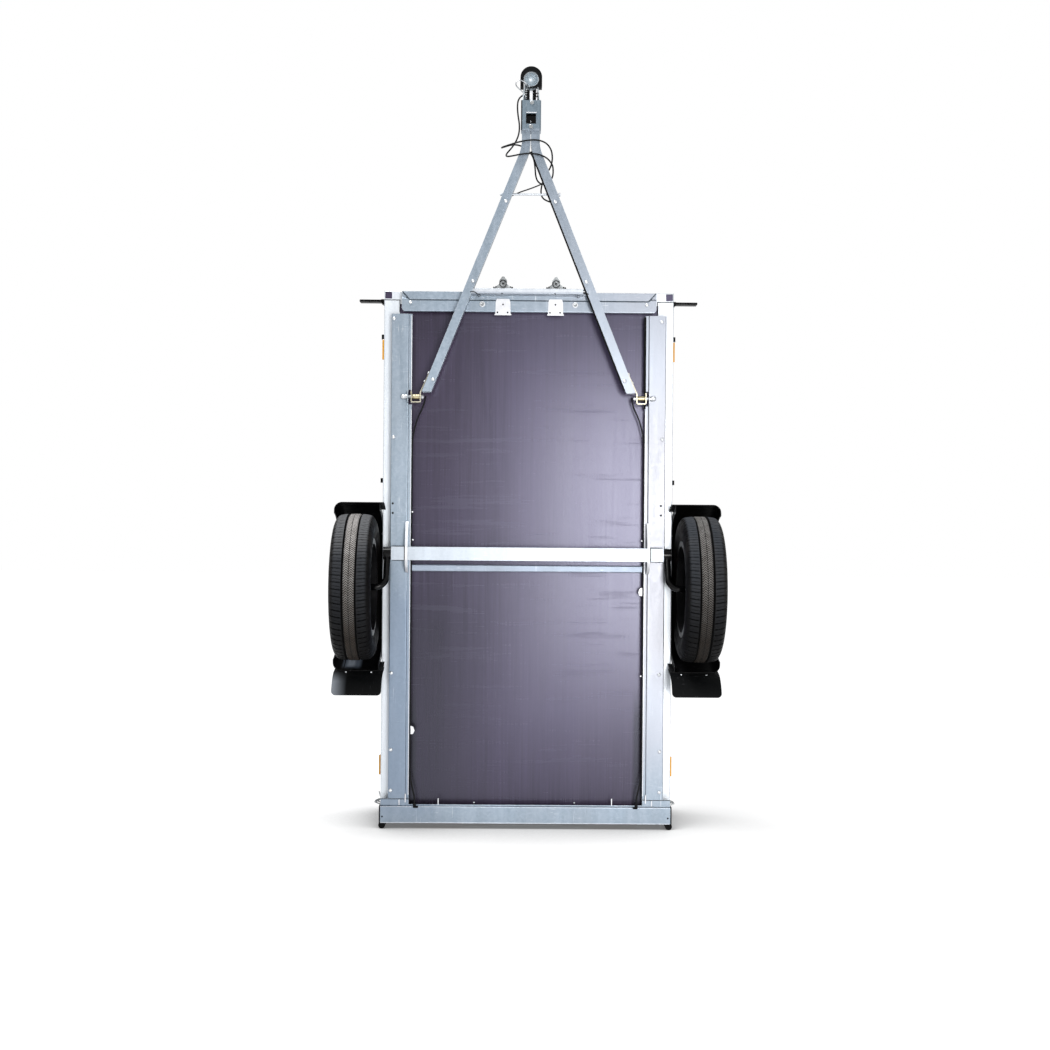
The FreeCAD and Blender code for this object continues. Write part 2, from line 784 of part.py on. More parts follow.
def mud_flap():
    """Right-hand rubber flap: lapped on the guard's rear end, it hangs towards the tail."""
    near = guard_radius + seat_clearance
    end = math.radians(guard_end)
    first = end - math.radians(flap_lap)
    centre = (wheel_station + (near + flap_radius) * math.cos(end),
              tyre_radius + (near + flap_radius) * math.sin(end))
    left = guard_inner - flap_inner_reach
    flap_width = guard_width + flap_inner_reach - flap_outer_gap

    def on_guard(radius, angle):
        return Vector(left, tyre_radius + radius * math.sin(angle),
                      wheel_station + radius * math.cos(angle))

    def on_drop(radius, angle):
        return Vector(left, centre[1] + radius * math.sin(angle),
                      centre[0] + radius * math.cos(angle))

    start = end - math.pi
    low = start - math.radians(flap_turn)
    inner, outer = near, near + flap_gauge
    wide, tight = flap_radius, flap_radius - flap_gauge
    middle, half = (first + end) / 2, (start + low) / 2
    edges = [Part.Arc(on_guard(inner, first), on_guard(inner, middle), on_guard(inner, end)),
             Part.Arc(on_drop(wide, start), on_drop(wide, half), on_drop(wide, low)),
             Part.LineSegment(on_drop(wide, low), on_drop(tight, low)),
             Part.Arc(on_drop(tight, low), on_drop(tight, half), on_drop(tight, start)),
             Part.Arc(on_guard(outer, end), on_guard(outer, middle), on_guard(outer, first)),
             Part.LineSegment(on_guard(outer, first), on_guard(inner, first))]
    face = Part.Face(Part.Wire([edge.toShape() for edge in edges]))
    flap = face.extrude(Vector(flap_width, 0, 0))
    tip = (on_drop(wide, low) + on_drop(tight, low)) * 0.5
    corners = [e for e in flap.Edges if e.BoundBox.DiagonalLength < flap_gauge * 1.2
               and abs(e.CenterOfMass.z - tip.z) < 1]
    return flap.makeFillet(flap_corner, corners)


# Small body pieces

def marker_lamp():
    """Right-hand front marker lamp: a wedge base on the wall and a thin lamp out from it."""
    low = floor_top + marker_rise
    high = low + marker_base_height
    front = body_front - marker_setback
    foot = half_body + seat_clearance
    knee = half_body + marker_base_depth
    outline = [(foot, front - marker_base_length), (foot, front), (knee, front),
               (knee, front - marker_gauge - 4)]
    base = plate(outline, [0, 0, 3, 3], lambda p: Vector(p[0], low, p[1]),
                 Vector(0, marker_base_height, 0))
    lamp = block((knee - 2, low + 3, front - marker_gauge - 1.5),
                 (half_body + marker_reach, high - 3, front - 1.5))
    ends = [e for e in lamp.Edges if e.BoundBox.XMin > half_body + marker_reach - 1]
    return base.fuse(lamp.makeFillet(marker_gauge * 0.35, ends)).removeSplitter()


def side_reflector(station):
    """Right-hand side reflector, centred on a station."""
    low = floor_top + reflector_rise
    foot = half_body + seat_clearance
    body = block((foot, low, station - reflector_length / 2),
                 (foot + reflector_depth, low + reflector_height,
                  station + reflector_length / 2))
    return body.makeFillet(3.0, [e for e in body.Edges if e.BoundBox.XMin > foot
                                 or e.BoundBox.XLength > 1])


def tie_hook(station):
    """Right-hand rope hook on the wall: a plate and an upturned finger."""
    foot = half_body + seat_clearance
    low = floor_top + hook_rise
    points = [(foot, low + hook_height), (foot, low), (foot + 14, low),
              (foot + 14, low + hook_height * 0.6)]
    return along_z(points, 3.0, 2.0, station - hook_width / 2, station + hook_width / 2)


def tail_lamp():
    """Right-hand rear lamp, set in the beam and facing rearwards."""
    half = lamp_width / 2
    lens = block((lamp_centre - half - lamp_rim, lamp_low - lamp_rim,
                  tail_clearance - lamp_proud),
                 (lamp_centre + half + lamp_rim, lamp_low + lamp_height + lamp_rim,
                  tail_clearance))
    edges = [e for e in lens.Edges if e.BoundBox.ZMax < tail_clearance - lamp_proud + 0.1]
    body = block((lamp_centre - half, lamp_low, tail_clearance - 1),
                 (lamp_centre + half, lamp_low + lamp_height, tail_clearance + lamp_depth))
    return lens.makeFillet(lamp_proud * 0.6, edges).fuse(body).removeSplitter()


def gate_latch():
    """Right-hand tailgate latch on the wall: base, folded lever and a wire bail."""
    foot = half_body + seat_clearance
    low = floor_top + bail_rise
    rear = bail_base_reach
    front = rear + bail_base_length
    base = block((foot, low, rear), (foot + 3, low + bail_base_height, front))
    middle = low + bail_base_height / 2
    lever = along_y([(foot + 24, front), (foot + 18, front - 20), (foot + 2.5, front - 26)],
                    3.0, 2.0, middle - 9, middle + 9)
    tip = (foot + bail_reach, rear + bail_base_length * 0.35)
    legs = []
    for side in (-1, 1):
        height = middle + side * bail_spread
        legs.append(rod((foot + 1, height, front - 24), (tip[0], height, tip[1]),
                        bail_diameter / 2))
        legs.append(rod((foot + 1, height, rear + 6), (tip[0], height, tip[1]),
                        bail_diameter / 2))
        legs.append(Part.makeSphere(bail_diameter / 2, Vector(tip[0], height, tip[1])))
    cross = rod((tip[0], middle - bail_spread, tip[1]), (tip[0], middle + bail_spread, tip[1]),
                bail_diameter / 2)
    solid = base.fuse([lever, cross] + legs)
    wall_side = block((foot - 10, low - 5, rear - 10), (foot, low + bail_base_height + 5,
                                                         front + 10))
    return solid.cut(wall_side).removeSplitter()


def catch_plate():
    """Right-hand catch plate on the front beam's flat, wider at its rear edge."""
    x = latch_spacing / 2
    half = catch_width / 2
    foot = half + catch_flare
    top = beam_rear + front_beam_flat
    rear = beam_rear - catch_overhang
    right = [(half, top), (half + 4, top - 12), (foot - 3, rear + 5), (foot, rear + 4),
             (foot, rear)]
    outline = [(x + reach, z) for reach, z in right]
    outline += [(x - reach, z) for reach, z in right[::-1]]
    return plate(outline, [3] + [0] * 8 + [3], lambda p: Vector(p[0], rail_bottom - catch_gauge, p[1]),
                 Vector(0, catch_gauge, 0))


def tailgate():
    """Tailgate between the rear posts: folded sheet with ribs, bead and bottom flange."""
    low = hinge_height + 3
    rear = tail_clearance
    points = [(low, rear + gate_depth - 6), (low, rear), (overall_height, rear),
              (overall_height, rear + gate_depth),
              (overall_height - top_bead_depth, rear + gate_depth)]
    gate = along_x(points, sheet, sheet_bend, -gate_half, gate_half)
    return press_ribs(gate, rib_margin - half_body, half_body - rib_margin,
                      lambda along, rise, depth: Vector(along, rise, rear + depth))


def gate_hinge_fixed(side):
    """Fixed half of one hinge: two knuckles, a leaf on the beam and the pin."""
    centre = (hinge_height, hinge_station)
    third = hinge_length / 3
    start = side * hinge_spread - hinge_length / 2
    leaf = block((start, hinge_height - 26, tail_clearance - hinge_leaf),
                 (start + hinge_length, hinge_height - 1, tail_clearance))
    gap = block((start + third - 1, hinge_height - hinge_knuckle - 1, hinge_station - 10),
                (start + 2 * third + 1, hinge_height + 10, tail_clearance + 1))
    solid = leaf.cut(gap)
    for offset in (0, 2 * third):
        barrel = rod((start + offset, *centre), (start + offset + third, *centre),
                     hinge_knuckle)
        bridge = block((start + offset, hinge_height - hinge_knuckle, hinge_station),
                       (start + offset + third, hinge_height - 2, tail_clearance))
        solid = solid.fuse([barrel, bridge])
    pin = rod((start, *centre), (start + hinge_length, *centre), hinge_pin)
    return solid.fuse(pin).removeSplitter()


def gate_hinge_moving(side):
    """Moving half of one hinge: the middle knuckle and the leaf on the gate."""
    centre = (hinge_height, hinge_station)
    third = hinge_length / 3
    start = side * hinge_spread - hinge_length / 2
    low = start + third + seat_clearance
    high = start + 2 * third - seat_clearance
    leaf = block((start + 4, hinge_height + hinge_knuckle + 1.5, tail_clearance - hinge_leaf),
                 (start + hinge_length - 4, hinge_height + 32, tail_clearance))
    neck = block((low, hinge_height + 2, tail_clearance - hinge_leaf),
                 (high, hinge_height + 10, tail_clearance))
    barrel = rod((low, *centre), (high, *centre), hinge_knuckle)
    bridge = block((low, hinge_height + 2, hinge_station),
                   (high, hinge_height + hinge_knuckle, tail_clearance))
    bore = rod((low - 1, *centre), (high + 1, *centre), hinge_pin + run_clearance)
    return barrel.fuse([bridge, neck, leaf]).removeSplitter().cut(bore)


def harness():
    """Right-hand lamp cable, clipped along the rail's lip, and its grommet."""
    x = lip_inner - cable_diameter / 2 - seat_clearance
    near_arm = arm_end_station
    step = rear_beam_bottom + cable_diameter / 2
    low = rear_beam_front + 2
    points = [(x - 50, cable_height, near_arm - 12), (x - 42, cable_height, near_arm - 50),
              (x - 18, cable_height, near_arm - 100), (x, cable_height, near_arm - 170),
              (x, cable_height, low + 119), (x - 9, cable_height - 5, low + 74),
              (x - 20, step, low + 32), (x - 20, step, low)]
    grommet = rod((x - 20, step, low), (x - 20, step, low + 8), cable_diameter)
    return cord_tube(points, cable_diameter).fuse(grommet).removeSplitter()


def cable_spot(turn):
    """Place of the arm cable's middle beside the right-hand arm's bend."""
    reach = arm_bend_radius + arm_width / 2 + cable_diameter / 2 + seat_clearance
    centre = arm_gap / 2 + arm_width / 2 + arm_bend_radius
    return Vector(centre - math.cos(turn) * reach, arm_bottom + 6,
                  arm_bend_station - math.sin(turn) * reach)


def cable_end():
    """Lower end of the arm cable's straight run, just over the arm's open end."""
    start = cable_spot(arm_splay)
    run = (start.z - arm_end_station - 8) / math.cos(arm_splay)
    return start + Vector(math.sin(arm_splay), 0, -math.cos(arm_splay)) * run


def arm_cable():
    """Lamp cable along the right-hand arm's inner face, from the bend to its open end."""
    start = arm_splay * 0.62
    middle = (start + arm_splay) / 2
    bend = Part.Arc(cable_spot(start), cable_spot(middle), cable_spot(arm_splay)).toShape()
    path = Part.Wire([bend, Part.makeLine(cable_spot(arm_splay), cable_end())])
    circle = Part.makeCircle(cable_diameter / 2, cable_spot(start),
                             Vector(math.sin(start), 0, -math.cos(start)))
    return path.makePipeShell([Part.Wire(circle)], True, True)


def plug_holder():
    """Parking socket for the lead's plug, on the bracket's upper face."""
    high = arm_top + bracket_gauge
    z = bracket_station + holder_reach
    radius = plug_radius + holder_wall
    centre = high + 3 + radius
    foot = block((plug_offset - 24, high, z), (plug_offset + 24, high + 3, z + holder_length))
    cup = rod((plug_offset, centre, z), (plug_offset, centre, z + holder_length), radius)
    bore = rod((plug_offset, centre, z + holder_wall),
               (plug_offset, centre, z + holder_length + 1), plug_radius + seat_clearance)
    web = block((plug_offset - 10, high + 2, z), (plug_offset + 10, high + 10, z + holder_length))
    return foot.fuse([cup, web]).removeSplitter().cut(bore)


def lead_plug():
    """Trailer plug parked in its holder, with a ribbed grip and a cable boss."""
    height = arm_top + bracket_gauge + 3 + plug_radius + holder_wall
    z = bracket_station + holder_reach + holder_wall + seat_clearance
    points = [(0, 0), (0, plug_radius), (34, plug_radius), (36, plug_radius + 3.5),
              (42, plug_radius + 3.5), (44, plug_radius + 1), (62, plug_radius - 1),
              (74, 8), (84, 6), (84, 0)]
    spots = [Vector(plug_offset, height + r, z + a) for a, r in points]
    face = Part.Face(Part.makePolygon(spots + spots[:1]))
    return face.revolve(Vector(plug_offset, height, z), Vector(0, 0, 1), 360)


def pivot_pin():
    """Right-hand pivot pin: domed head, collar, shank and nut."""
    tab_face = rail_inner + rail_gauge + seat_clearance
    head_x = tab_face + pin_collar_length
    nut_face = clevis_inner - seat_clearance
    centre = (pivot_height, pivot_station)
    shank = rod((head_x, *centre), (nut_face - 10, *centre), pin_diameter / 2)
    collar = rod((tab_face, *centre), (head_x, *centre), pin_collar_diameter / 2)
    dome = Part.makeSphere(pin_head_diameter / 2, Vector(head_x, *centre))
    nut = rod((nut_face, *centre), (nut_face - 8, *centre), 9.5)
    return shank.fuse([collar, dome, nut]).removeSplitter()


# Drawbar

def splay_angle():
    """Turn of the arms that brings their open ends to the clevises, found by halving."""
    low, high = 0.0, math.radians(60)
    for _ in range(50):
        turn = (low + high) / 2
        run = arm_bend_station - arm_bend_radius * math.sin(turn) - arm_end_station
        reach = arm_gap / 2 + arm_width / 2 + arm_bend_radius * (1 - math.cos(turn))
        reach += run * math.tan(turn) + arm_width / 2 / math.cos(turn)
        if reach < clevis_inner - strap_lean:
            low = turn
        else:
            high = turn
    return turn


arm_splay = splay_angle()


def arm_path():
    """Centre line of the right-hand arm, from the coupling down to its lower end."""
    x = arm_gap / 2 + arm_width / 2
    turn = arm_splay
    top = Vector(x, arm_middle, arm_top_station)
    bend = Vector(x, arm_middle, arm_bend_station)
    centre = Vector(x + arm_bend_radius, arm_middle, arm_bend_station)
    mid = centre - Vector(math.cos(turn / 2), 0, math.sin(turn / 2)) * arm_bend_radius
    low = centre - Vector(math.cos(turn), 0, math.sin(turn)) * arm_bend_radius
    run = (low.z - arm_end_station + arm_width) / math.cos(turn)
    end = low + Vector(math.sin(turn), 0, -math.cos(turn)) * run
    return Part.Wire([Part.makeLine(top, bend), Part.Arc(bend, mid, low).toShape(),
                      Part.makeLine(low, end)])


def arm_solids():
    path = arm_path()
    start = path.Edges[0].Vertexes[0].Point
    outer, inner = swept_tube(path, arm_width, arm_height, start, Vector(0, 0, -1), arm_wall)
    below = block((0, arm_bottom - 5, arm_end_station - 100),
                  (half_body, arm_top + 5, arm_end_station))
    return outer.cut(below), inner


def drawbar_arm():
    outer, inner = arm_solids()
    z = tie_rod_station
    hole = rod((0, arm_middle, z), (300, arm_middle, z), tie_rod_diameter / 2)
    return outer.cut(inner).cut(hole)


def arm_face_x(station):
    """X of the arm's outer face at a station on its straight run."""
    x = arm_gap / 2 + arm_width / 2 + arm_bend_radius * (1 - math.cos(arm_splay))
    low = arm_bend_station - arm_bend_radius * math.sin(arm_splay)
    return x + (low - station) * math.tan(arm_splay) + arm_width / 2 / math.cos(arm_splay)


def clevis():
    """Right-hand clevis: one bent strap round the bush and up the arm's outer face."""
    outer = clevis_outer
    inner = clevis_inner
    low = pivot_station - 19 - clevis_gauge
    high = pivot_station + 19
    top = arm_end_station + strap_length * math.cos(arm_splay)
    points = [(outer, high), (outer, low), (inner, low), (inner, arm_end_station - 2),
              (arm_face_x(top) + 0.2, top)]
    strap = along_y(points[::-1], clevis_gauge, 2.5, pivot_height - clevis_height / 2,
                    pivot_height + clevis_height / 2 - 0.5)
    hole = rod((outer + 5, pivot_height, pivot_station), (inner - 5, pivot_height, pivot_station),
               pin_diameter / 2 + run_clearance)
    return strap.cut(hole)


def pivot_bush():
    outer = clevis_outer - clevis_gauge
    inner = clevis_inner + clevis_gauge
    tube = rod((outer, pivot_height, pivot_station), (inner, pivot_height, pivot_station),
               bush_diameter / 2)
    hole = rod((outer + 1, pivot_height, pivot_station), (inner - 1, pivot_height, pivot_station),
               pin_diameter / 2 + run_clearance)
    return tube.cut(hole)


def tie_rod():
    """Tie rod through both arms, with a nut outside each."""
    z = tie_rod_station
    nut_start = arm_face_x(z) + tie_nut_gap
    nut_end = nut_start + tie_nut_length
    reach = nut_end + 2
    bar = rod((-reach, arm_middle, z), (reach, arm_middle, z), tie_rod_diameter / 2)
    nuts = [rod((side * nut_start, arm_middle, z), (side * nut_end, arm_middle, z),
                tie_rod_diameter * 0.875) for side in (-1, 1)]
    return bar.fuse(nuts).removeSplitter()


def cross_bar():
    """Folded channel between the arms, in front of the box."""
    rear = cross_bar_station
    front = cross_bar_front
    high = arm_top - cross_bar_inset
    low = arm_bottom + cross_bar_inset
    points = [(high, rear), (low, rear), (low, front), (high, front)]
    reach = arm_face_x(rear)
    bar = along_x(points[::-1], cross_bar_gauge, 1.5, -reach, reach)
    outer = arm_solids()[0]
    arm_inner = arm_face_x(front) - arm_width / math.cos(arm_splay)
    notch = block((arm_inner - cable_diameter * 1.5, low - 1, rear - 1),
                  (reach, cable_spot(0).y + cable_diameter, front + 1))
    cut = bar.cut(pair(outer)).cut(notch)
    middle = [solid for solid in cut.Solids if abs(solid.CenterOfMass.x) < arm_width]
    return middle[0]


def toggle_latch():
    """Right-hand over-centre latch: base, two round-topped cheeks, drum, lever, hook."""
    x = latch_spacing / 2
    z = cross_bar_front
    near = arm_bottom + latch_setback
    far = near + latch_depth
    seat = z + latch_base_gauge
    half = latch_base_width / 2
    base = block((x - half, near, z), (x + half, far, seat))
    pin = z + latch_rise - latch_width / 2
    waist = latch_width / 2
    pieces = []
    for height in (near + 1, far - 1 - latch_cheek):
        cheek = [(x - waist, seat), (x + waist, seat), (x + waist, z + latch_rise),
                 (x - waist, z + latch_rise)]
        pieces.append(plate(cheek, [0, 0, waist - 1, waist - 1],
                            lambda p: Vector(p[0], height, p[1]), Vector(0, latch_cheek, 0)))
        gusset = [(x - half + 5, seat), (x + half - 5, seat), (x + waist, seat + latch_shoulder),
                  (x - waist, seat + latch_shoulder)]
        pieces.append(plate(gusset, [0, 0, 2, 2], lambda p: Vector(p[0], height, p[1]),
                            Vector(0, latch_cheek, 0)))
    pieces.append(rod((x, near + 1, pin), (x, far - 1, pin), waist * 0.7))
    pieces.append(rod((x, near - 2, pin), (x, far + 2, pin), latch_pin_diameter / 2))
    lever = [(x - 7, seat), (x + 7, seat), (x + 7, z + latch_rise + 7),
             (x - 7, z + latch_rise + 7)]
    pieces.append(plate(lever, [0, 0, 6, 6], lambda p: Vector(p[0], near + 11, p[1]),
                        Vector(0, 6, 0)))
    pieces.append(rod((x, near + 8, seat + 8), (x, arm_top + 14, seat + 8),
                      latch_pin_diameter / 2))
    return base.fuse(pieces).removeSplitter()


def coupling_bracket():
    """Folded sleeve that clamps the tops of both arms, with a window and a shallow recess."""
    half = bracket_width / 2
    rear = bracket_station
    front = bracket_front
    low = arm_bottom - bracket_lap
    high = arm_top + bracket_gauge
    shell = block((-half, low, rear), (half, high, front))
    edges = [e for e in shell.Edges if abs(e.Vertexes[0].Z - e.Vertexes[1].Z) > 1]
    shell = shell.makeFillet(bracket_round, edges)
    side = arm_gap / 2 + arm_width
    hollow = block((-side, low + bracket_gauge, rear - 1),
                   (side, arm_top, front - bracket_gauge))
    reach = window_size / 2
    window = block((-reach, low - 1, rear + window_reach),
                   (reach, low + bracket_gauge + 1, rear + window_reach + window_size))
    slot = block((0, low - 1, rear + slot_reach),
                 (reach, low + bracket_gauge + 1, rear + slot_reach + slot_height))
    recess = block((-reach, low - 1, rear + bracket_round),
                   (reach + 3, low + recess_depth, front + 1))
    return shell.cut(hollow).cut(window).cut(slot).cut(recess)


def coupling_head():
    """Pressed ball housing with its open-bottomed neck and the locking rod inside."""
    low = arm_middle - socket_drop
    shell_radius = ball_diameter / 2 + socket_wall
    centre = Vector(0, arm_middle, ball_station)
    dome = Part.makeSphere(shell_radius, centre)
    skirt = rod((0, low, ball_station), (0, arm_middle, ball_station), shell_radius)
    neck_low = low + socket_wall
    necks = []
    for inset in (0.0, socket_wall):
        wide = neck_width / 2 - inset
        slim = neck_front / 2 - inset
        necks.append(plate([(-wide, bracket_front), (wide, bracket_front),
                            (slim, ball_station), (-slim, ball_station)], [0, 0, 0, 0],
                           lambda p: Vector(p[0], neck_low, p[1]),
                           Vector(0, neck_height - inset, 0)))
    top = neck_low + neck_height
    ridge = [e for e in necks[0].Edges if e.BoundBox.YMin > top - 0.1
             and e.BoundBox.ZLength > neck_width]
    neck = necks[0].makeFillet(neck_round, ridge).cut(necks[1])
    bar = rod((0, arm_middle + 2, bracket_front), (0, arm_middle + 2, ball_station),
              lock_rod_diameter / 2)
    head = dome.fuse([skirt, neck, bar]).removeSplitter()
    ball = Part.makeSphere(ball_diameter / 2, centre)
    mouth = rod((0, low - neck_height, ball_station), (0, arm_middle, ball_station),
                ball_diameter / 2)
    below = block((-neck_width, low - shell_radius, bracket_front - 1),
                  (neck_width, low, ball_station + neck_width))
    return head.cut(ball).cut(mouth).cut(below)


def coupling_handle():
    """Lever on the upper side of the coupling head."""
    base = arm_middle - socket_drop + socket_wall + neck_height + seat_clearance
    rear = ball_station - handle_height
    points = [(base, rear), (base + handle_height, rear), (base + handle_height + 4, rear + 20),
              (base + handle_height - 10, rear + 90)]
    face = fold(points, 4.0, 3.0, lambda p: Vector(-handle_width / 2, p[0], p[1]))
    return face.extrude(Vector(handle_width, 0, 0))


def nose_cap():
    """Rubber cap round the nose of the coupling, its face open at the socket and the cable."""
    z = ball_station + cap_forward
    low = arm_middle - cap_height / 2
    high = arm_middle + cap_height / 2
    outer = rod((0, low, z), (0, high, z), cap_radius)
    back = block((-cap_radius, low, z - cap_back), (cap_radius, high, z))
    shell = outer.fuse(back).removeSplitter()
    keep = ball_diameter / 2 + socket_wall + seat_clearance
    inner = rod((0, low - 1, ball_station), (0, high + 1, ball_station), keep)
    mouth = arm_middle - socket_drop - seat_clearance
    channel = block((-cap_channel / 2, mouth, z - cap_radius - 1),
                    (cap_channel / 2, high + 1, ball_station))
    cable_side = block((-cap_channel / 2, low - 1, z - cap_radius - 1),
                       (-cap_cable_side, high + 1, ball_station - cap_cable_gap))
    return shell.cut(inner).cut(channel).cut(cable_side)


# Routes of the free cords, as (x, height over the arms, station from the ball)

safety_cable_route = [(-12, -36.5, -25), (-13, -50, -26), (-27, -57, -16), (-44, -56, -8),
                      (-57, -54, -14), (-59, -53, -29), (-46, -53, -42), (-30, -53, -55),
                      (-21, -49, -67), (-23, -38, -75), (-28, -28, -78)]
plug_lead_route = [(12, 26, -89.5), (15, 27, -59), (-4, 28, -40), (-30, 28, -40),
                   (-49, 25, -59), (-52, 20, -90), (-49, 17, -124), (-43, 15, -158),
                   (-44, 13, -192), (-54, 10, -222), (-72, 9, -250), (-93, -10, -278),
                   (-93, -37, -295), (-70, -57, -297), (-36, -57, -289), (-2, -57, -286),
                   (31, -56, -289), (62, -55, -302), (83, -35, -322), (87, -6, -336),
                   (86, 16, -358), (70, 26, -380), (46, 27, -385), (28, 26, -374),
                   (20, 25, -352), (18, 24, -318), (12, 24, -282), (-8, 25, -254),
                   (-36, 27, -236), (-68, 26, -232), (-97, 14, -244), (-112, -12, -256),
                   (-108, -41, -260), (-84, -58, -256), (-50, -59, -245), (-12, -59, -237),
                   (26, -59, -235), (58, -52, -244), (78, -34, -264), (84, -8, -290),
                   (80, 9, -316), (66, 13, -340), (52, 12, -364), (44, 11, -390),
                   (40, 6, -418), (45, -5, -442), (61, -16, -456), (96, -24.3, -469.3)]
branch_route = [(74, 3.2, -374), (42, 4, -389), (2, -2, -407), (-34, -3, -419),
                (-62, 4, -430), (-96, 3.2, -446)]


def routed(route):
    return [(x, arm_top + rise, ball_station + along) for x, rise, along in route]


def safety_cable():
    """Thin wire rope looped beside the nose, from the socket's rim to the neck."""
    return cord_tube(routed(safety_cable_route), wire_diameter).cut(coupling_head())


def plug_lead():
    """Lead from the parked plug, wrapped twice round the arms and into the right one."""
    return cord_tube(routed(plug_lead_route), cable_diameter).cut(arm_solids()[0])


def branch_cable():
    """Lamp cable across to the left arm, with a grommet at each end."""
    points = routed(branch_route)
    grommets = [rod((x, arm_top, z), (x, arm_top + branch_diameter + 1, z), branch_diameter)
                for x, height, z in (points[0], points[-1])]
    return cord_tube(points, branch_diameter).fuse(grommets).removeSplitter()


def build():
    os.makedirs("parts", exist_ok=True)
    save("floor_board", floor_board())
    save("side_wall_right", side_wall())
    save("side_wall_left", mirrored(side_wall()))
    save("front_wall", front_wall())
    save("rear_posts", pair(rear_post()))
    save("rail_right", rail())
    save("rail_left", mirrored(rail()))
    save("front_beam", front_beam())
    save("rear_beam", rear_beam())
    save("beam_caps", pair(beam_cap()))
    save("rubber_feet", Part.makeCompound([pair(near_foot()), pair(far_foot())]))
    save("cross_member", cross_member())
    save("axle_tube", axle_tube())
    save("axle_plates", pair(axle_plate()))
    save("swing_arm_right", swing_arm())
    save("swing_arm_left", mirrored(swing_arm()))
    for side, turn in (("right", False), ("left", True)):
        for name, shape in (("tyre", tyre()), ("rim", rim()), ("hub", hub()),
                            ("mudguard", mudguard())):
            save(name + "_" + side, mirrored(shape) if turn else shape)
    save("mud_flaps", pair(mud_flap()))
    save("marker_lamps", pair(marker_lamp()))
    front_reflectors = pair(side_reflector(body_front - front_reflector_setback))
    rear_reflectors = pair(side_reflector(tail_clearance + rear_reflector_reach))
    save("side_reflectors", Part.makeCompound([front_reflectors, rear_reflectors]))
    front_hooks = pair(tie_hook(body_front - front_hook_setback))
    middle_hooks = pair(tie_hook(wheel_station + middle_hook_reach))
    save("tie_hooks", Part.makeCompound([front_hooks, middle_hooks]))
    save("tail_lamps", pair(tail_lamp()))
    save("gate_latches", pair(gate_latch()))
    save("catch_plates", pair(catch_plate()))
    save("pivot_pins", pair(pivot_pin()))
    save("drawbar_arm_right", drawbar_arm())
    save("drawbar_arm_left", mirrored(drawbar_arm()))
    save("clevises", pair(clevis()))
    save("pivot_bushes", pair(pivot_bush()))
    save("tie_rod", tie_rod())
    save("cross_bar", cross_bar())
    save("toggle_latches", pair(toggle_latch()))
    save("coupling_bracket", coupling_bracket())
    save("coupling_head", coupling_head())
    save("coupling_handle", coupling_handle())
    save("nose_cap", nose_cap())
    save("tailgate", tailgate())
    save("gate_hinges_fixed", Part.makeCompound([gate_hinge_fixed(-1), gate_hinge_fixed(1)]))
    save("gate_hinges_moving", Part.makeCompound([gate_hinge_moving(-1), gate_hinge_moving(1)]))
    save("harness", pair(harness()))
    save("arm_cable", arm_cable())
    save("plug_holder", plug_holder())
    save("lead_plug", lead_plug())
    save("branch_cable", branch_cable())
    save("safety_cable", safety_cable())
    save("plug_lead", plug_lead())


build()
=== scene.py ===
import bpy
import json
import math
import numpy as np
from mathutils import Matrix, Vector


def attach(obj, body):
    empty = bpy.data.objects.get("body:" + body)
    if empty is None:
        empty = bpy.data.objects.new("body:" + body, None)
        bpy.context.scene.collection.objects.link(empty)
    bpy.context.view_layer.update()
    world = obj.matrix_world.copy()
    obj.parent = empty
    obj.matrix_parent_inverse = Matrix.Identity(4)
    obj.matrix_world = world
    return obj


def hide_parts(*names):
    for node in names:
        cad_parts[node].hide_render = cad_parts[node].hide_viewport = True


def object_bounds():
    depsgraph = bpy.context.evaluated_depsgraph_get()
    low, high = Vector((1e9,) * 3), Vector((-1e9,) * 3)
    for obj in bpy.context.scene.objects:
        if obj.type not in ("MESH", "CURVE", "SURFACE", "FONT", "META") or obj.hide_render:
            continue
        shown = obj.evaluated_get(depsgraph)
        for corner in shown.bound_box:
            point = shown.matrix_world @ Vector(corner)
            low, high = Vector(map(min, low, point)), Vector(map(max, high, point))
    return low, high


# Small box trailer standing on its tail, seen on its underside. Metres, Z up, +X to the right.

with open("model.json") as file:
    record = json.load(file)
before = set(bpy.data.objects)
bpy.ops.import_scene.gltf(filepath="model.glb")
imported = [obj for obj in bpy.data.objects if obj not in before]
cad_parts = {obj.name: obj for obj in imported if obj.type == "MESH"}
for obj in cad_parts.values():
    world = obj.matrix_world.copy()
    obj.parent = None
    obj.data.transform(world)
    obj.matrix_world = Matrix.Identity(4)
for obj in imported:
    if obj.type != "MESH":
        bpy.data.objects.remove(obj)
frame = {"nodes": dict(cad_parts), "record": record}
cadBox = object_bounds()
nodes = frame["nodes"]
print("frame loaded,", len(nodes), "nodes")


# Camera

lookout = {"sensor": 36.0, "focal": 51.2, "away": 5.719, "height": 1.151, "side": -0.0705,
           "pitch": 0.07, "roll": -0.46, "turn": -0.61}

cameraData = bpy.data.cameras.new("photoCamera")
cameraData.sensor_width = lookout["sensor"]
cameraData.lens = lookout["focal"]
camera = bpy.data.objects.new("photoCamera", cameraData)
camera.location = (lookout["side"], -lookout["away"], lookout["height"])
camera.rotation_euler = (math.radians(90 + lookout["pitch"]), math.radians(lookout["roll"]),
                         math.radians(lookout["turn"]))
bpy.context.scene.collection.objects.link(camera)
bpy.context.scene.camera = camera
print("camera set")


# Shapes worked out as arrays: each function gives (points, faces)

def unit(vector):
    vector = np.asarray(vector, float)
    return vector / np.linalg.norm(vector, axis=-1, keepdims=True)


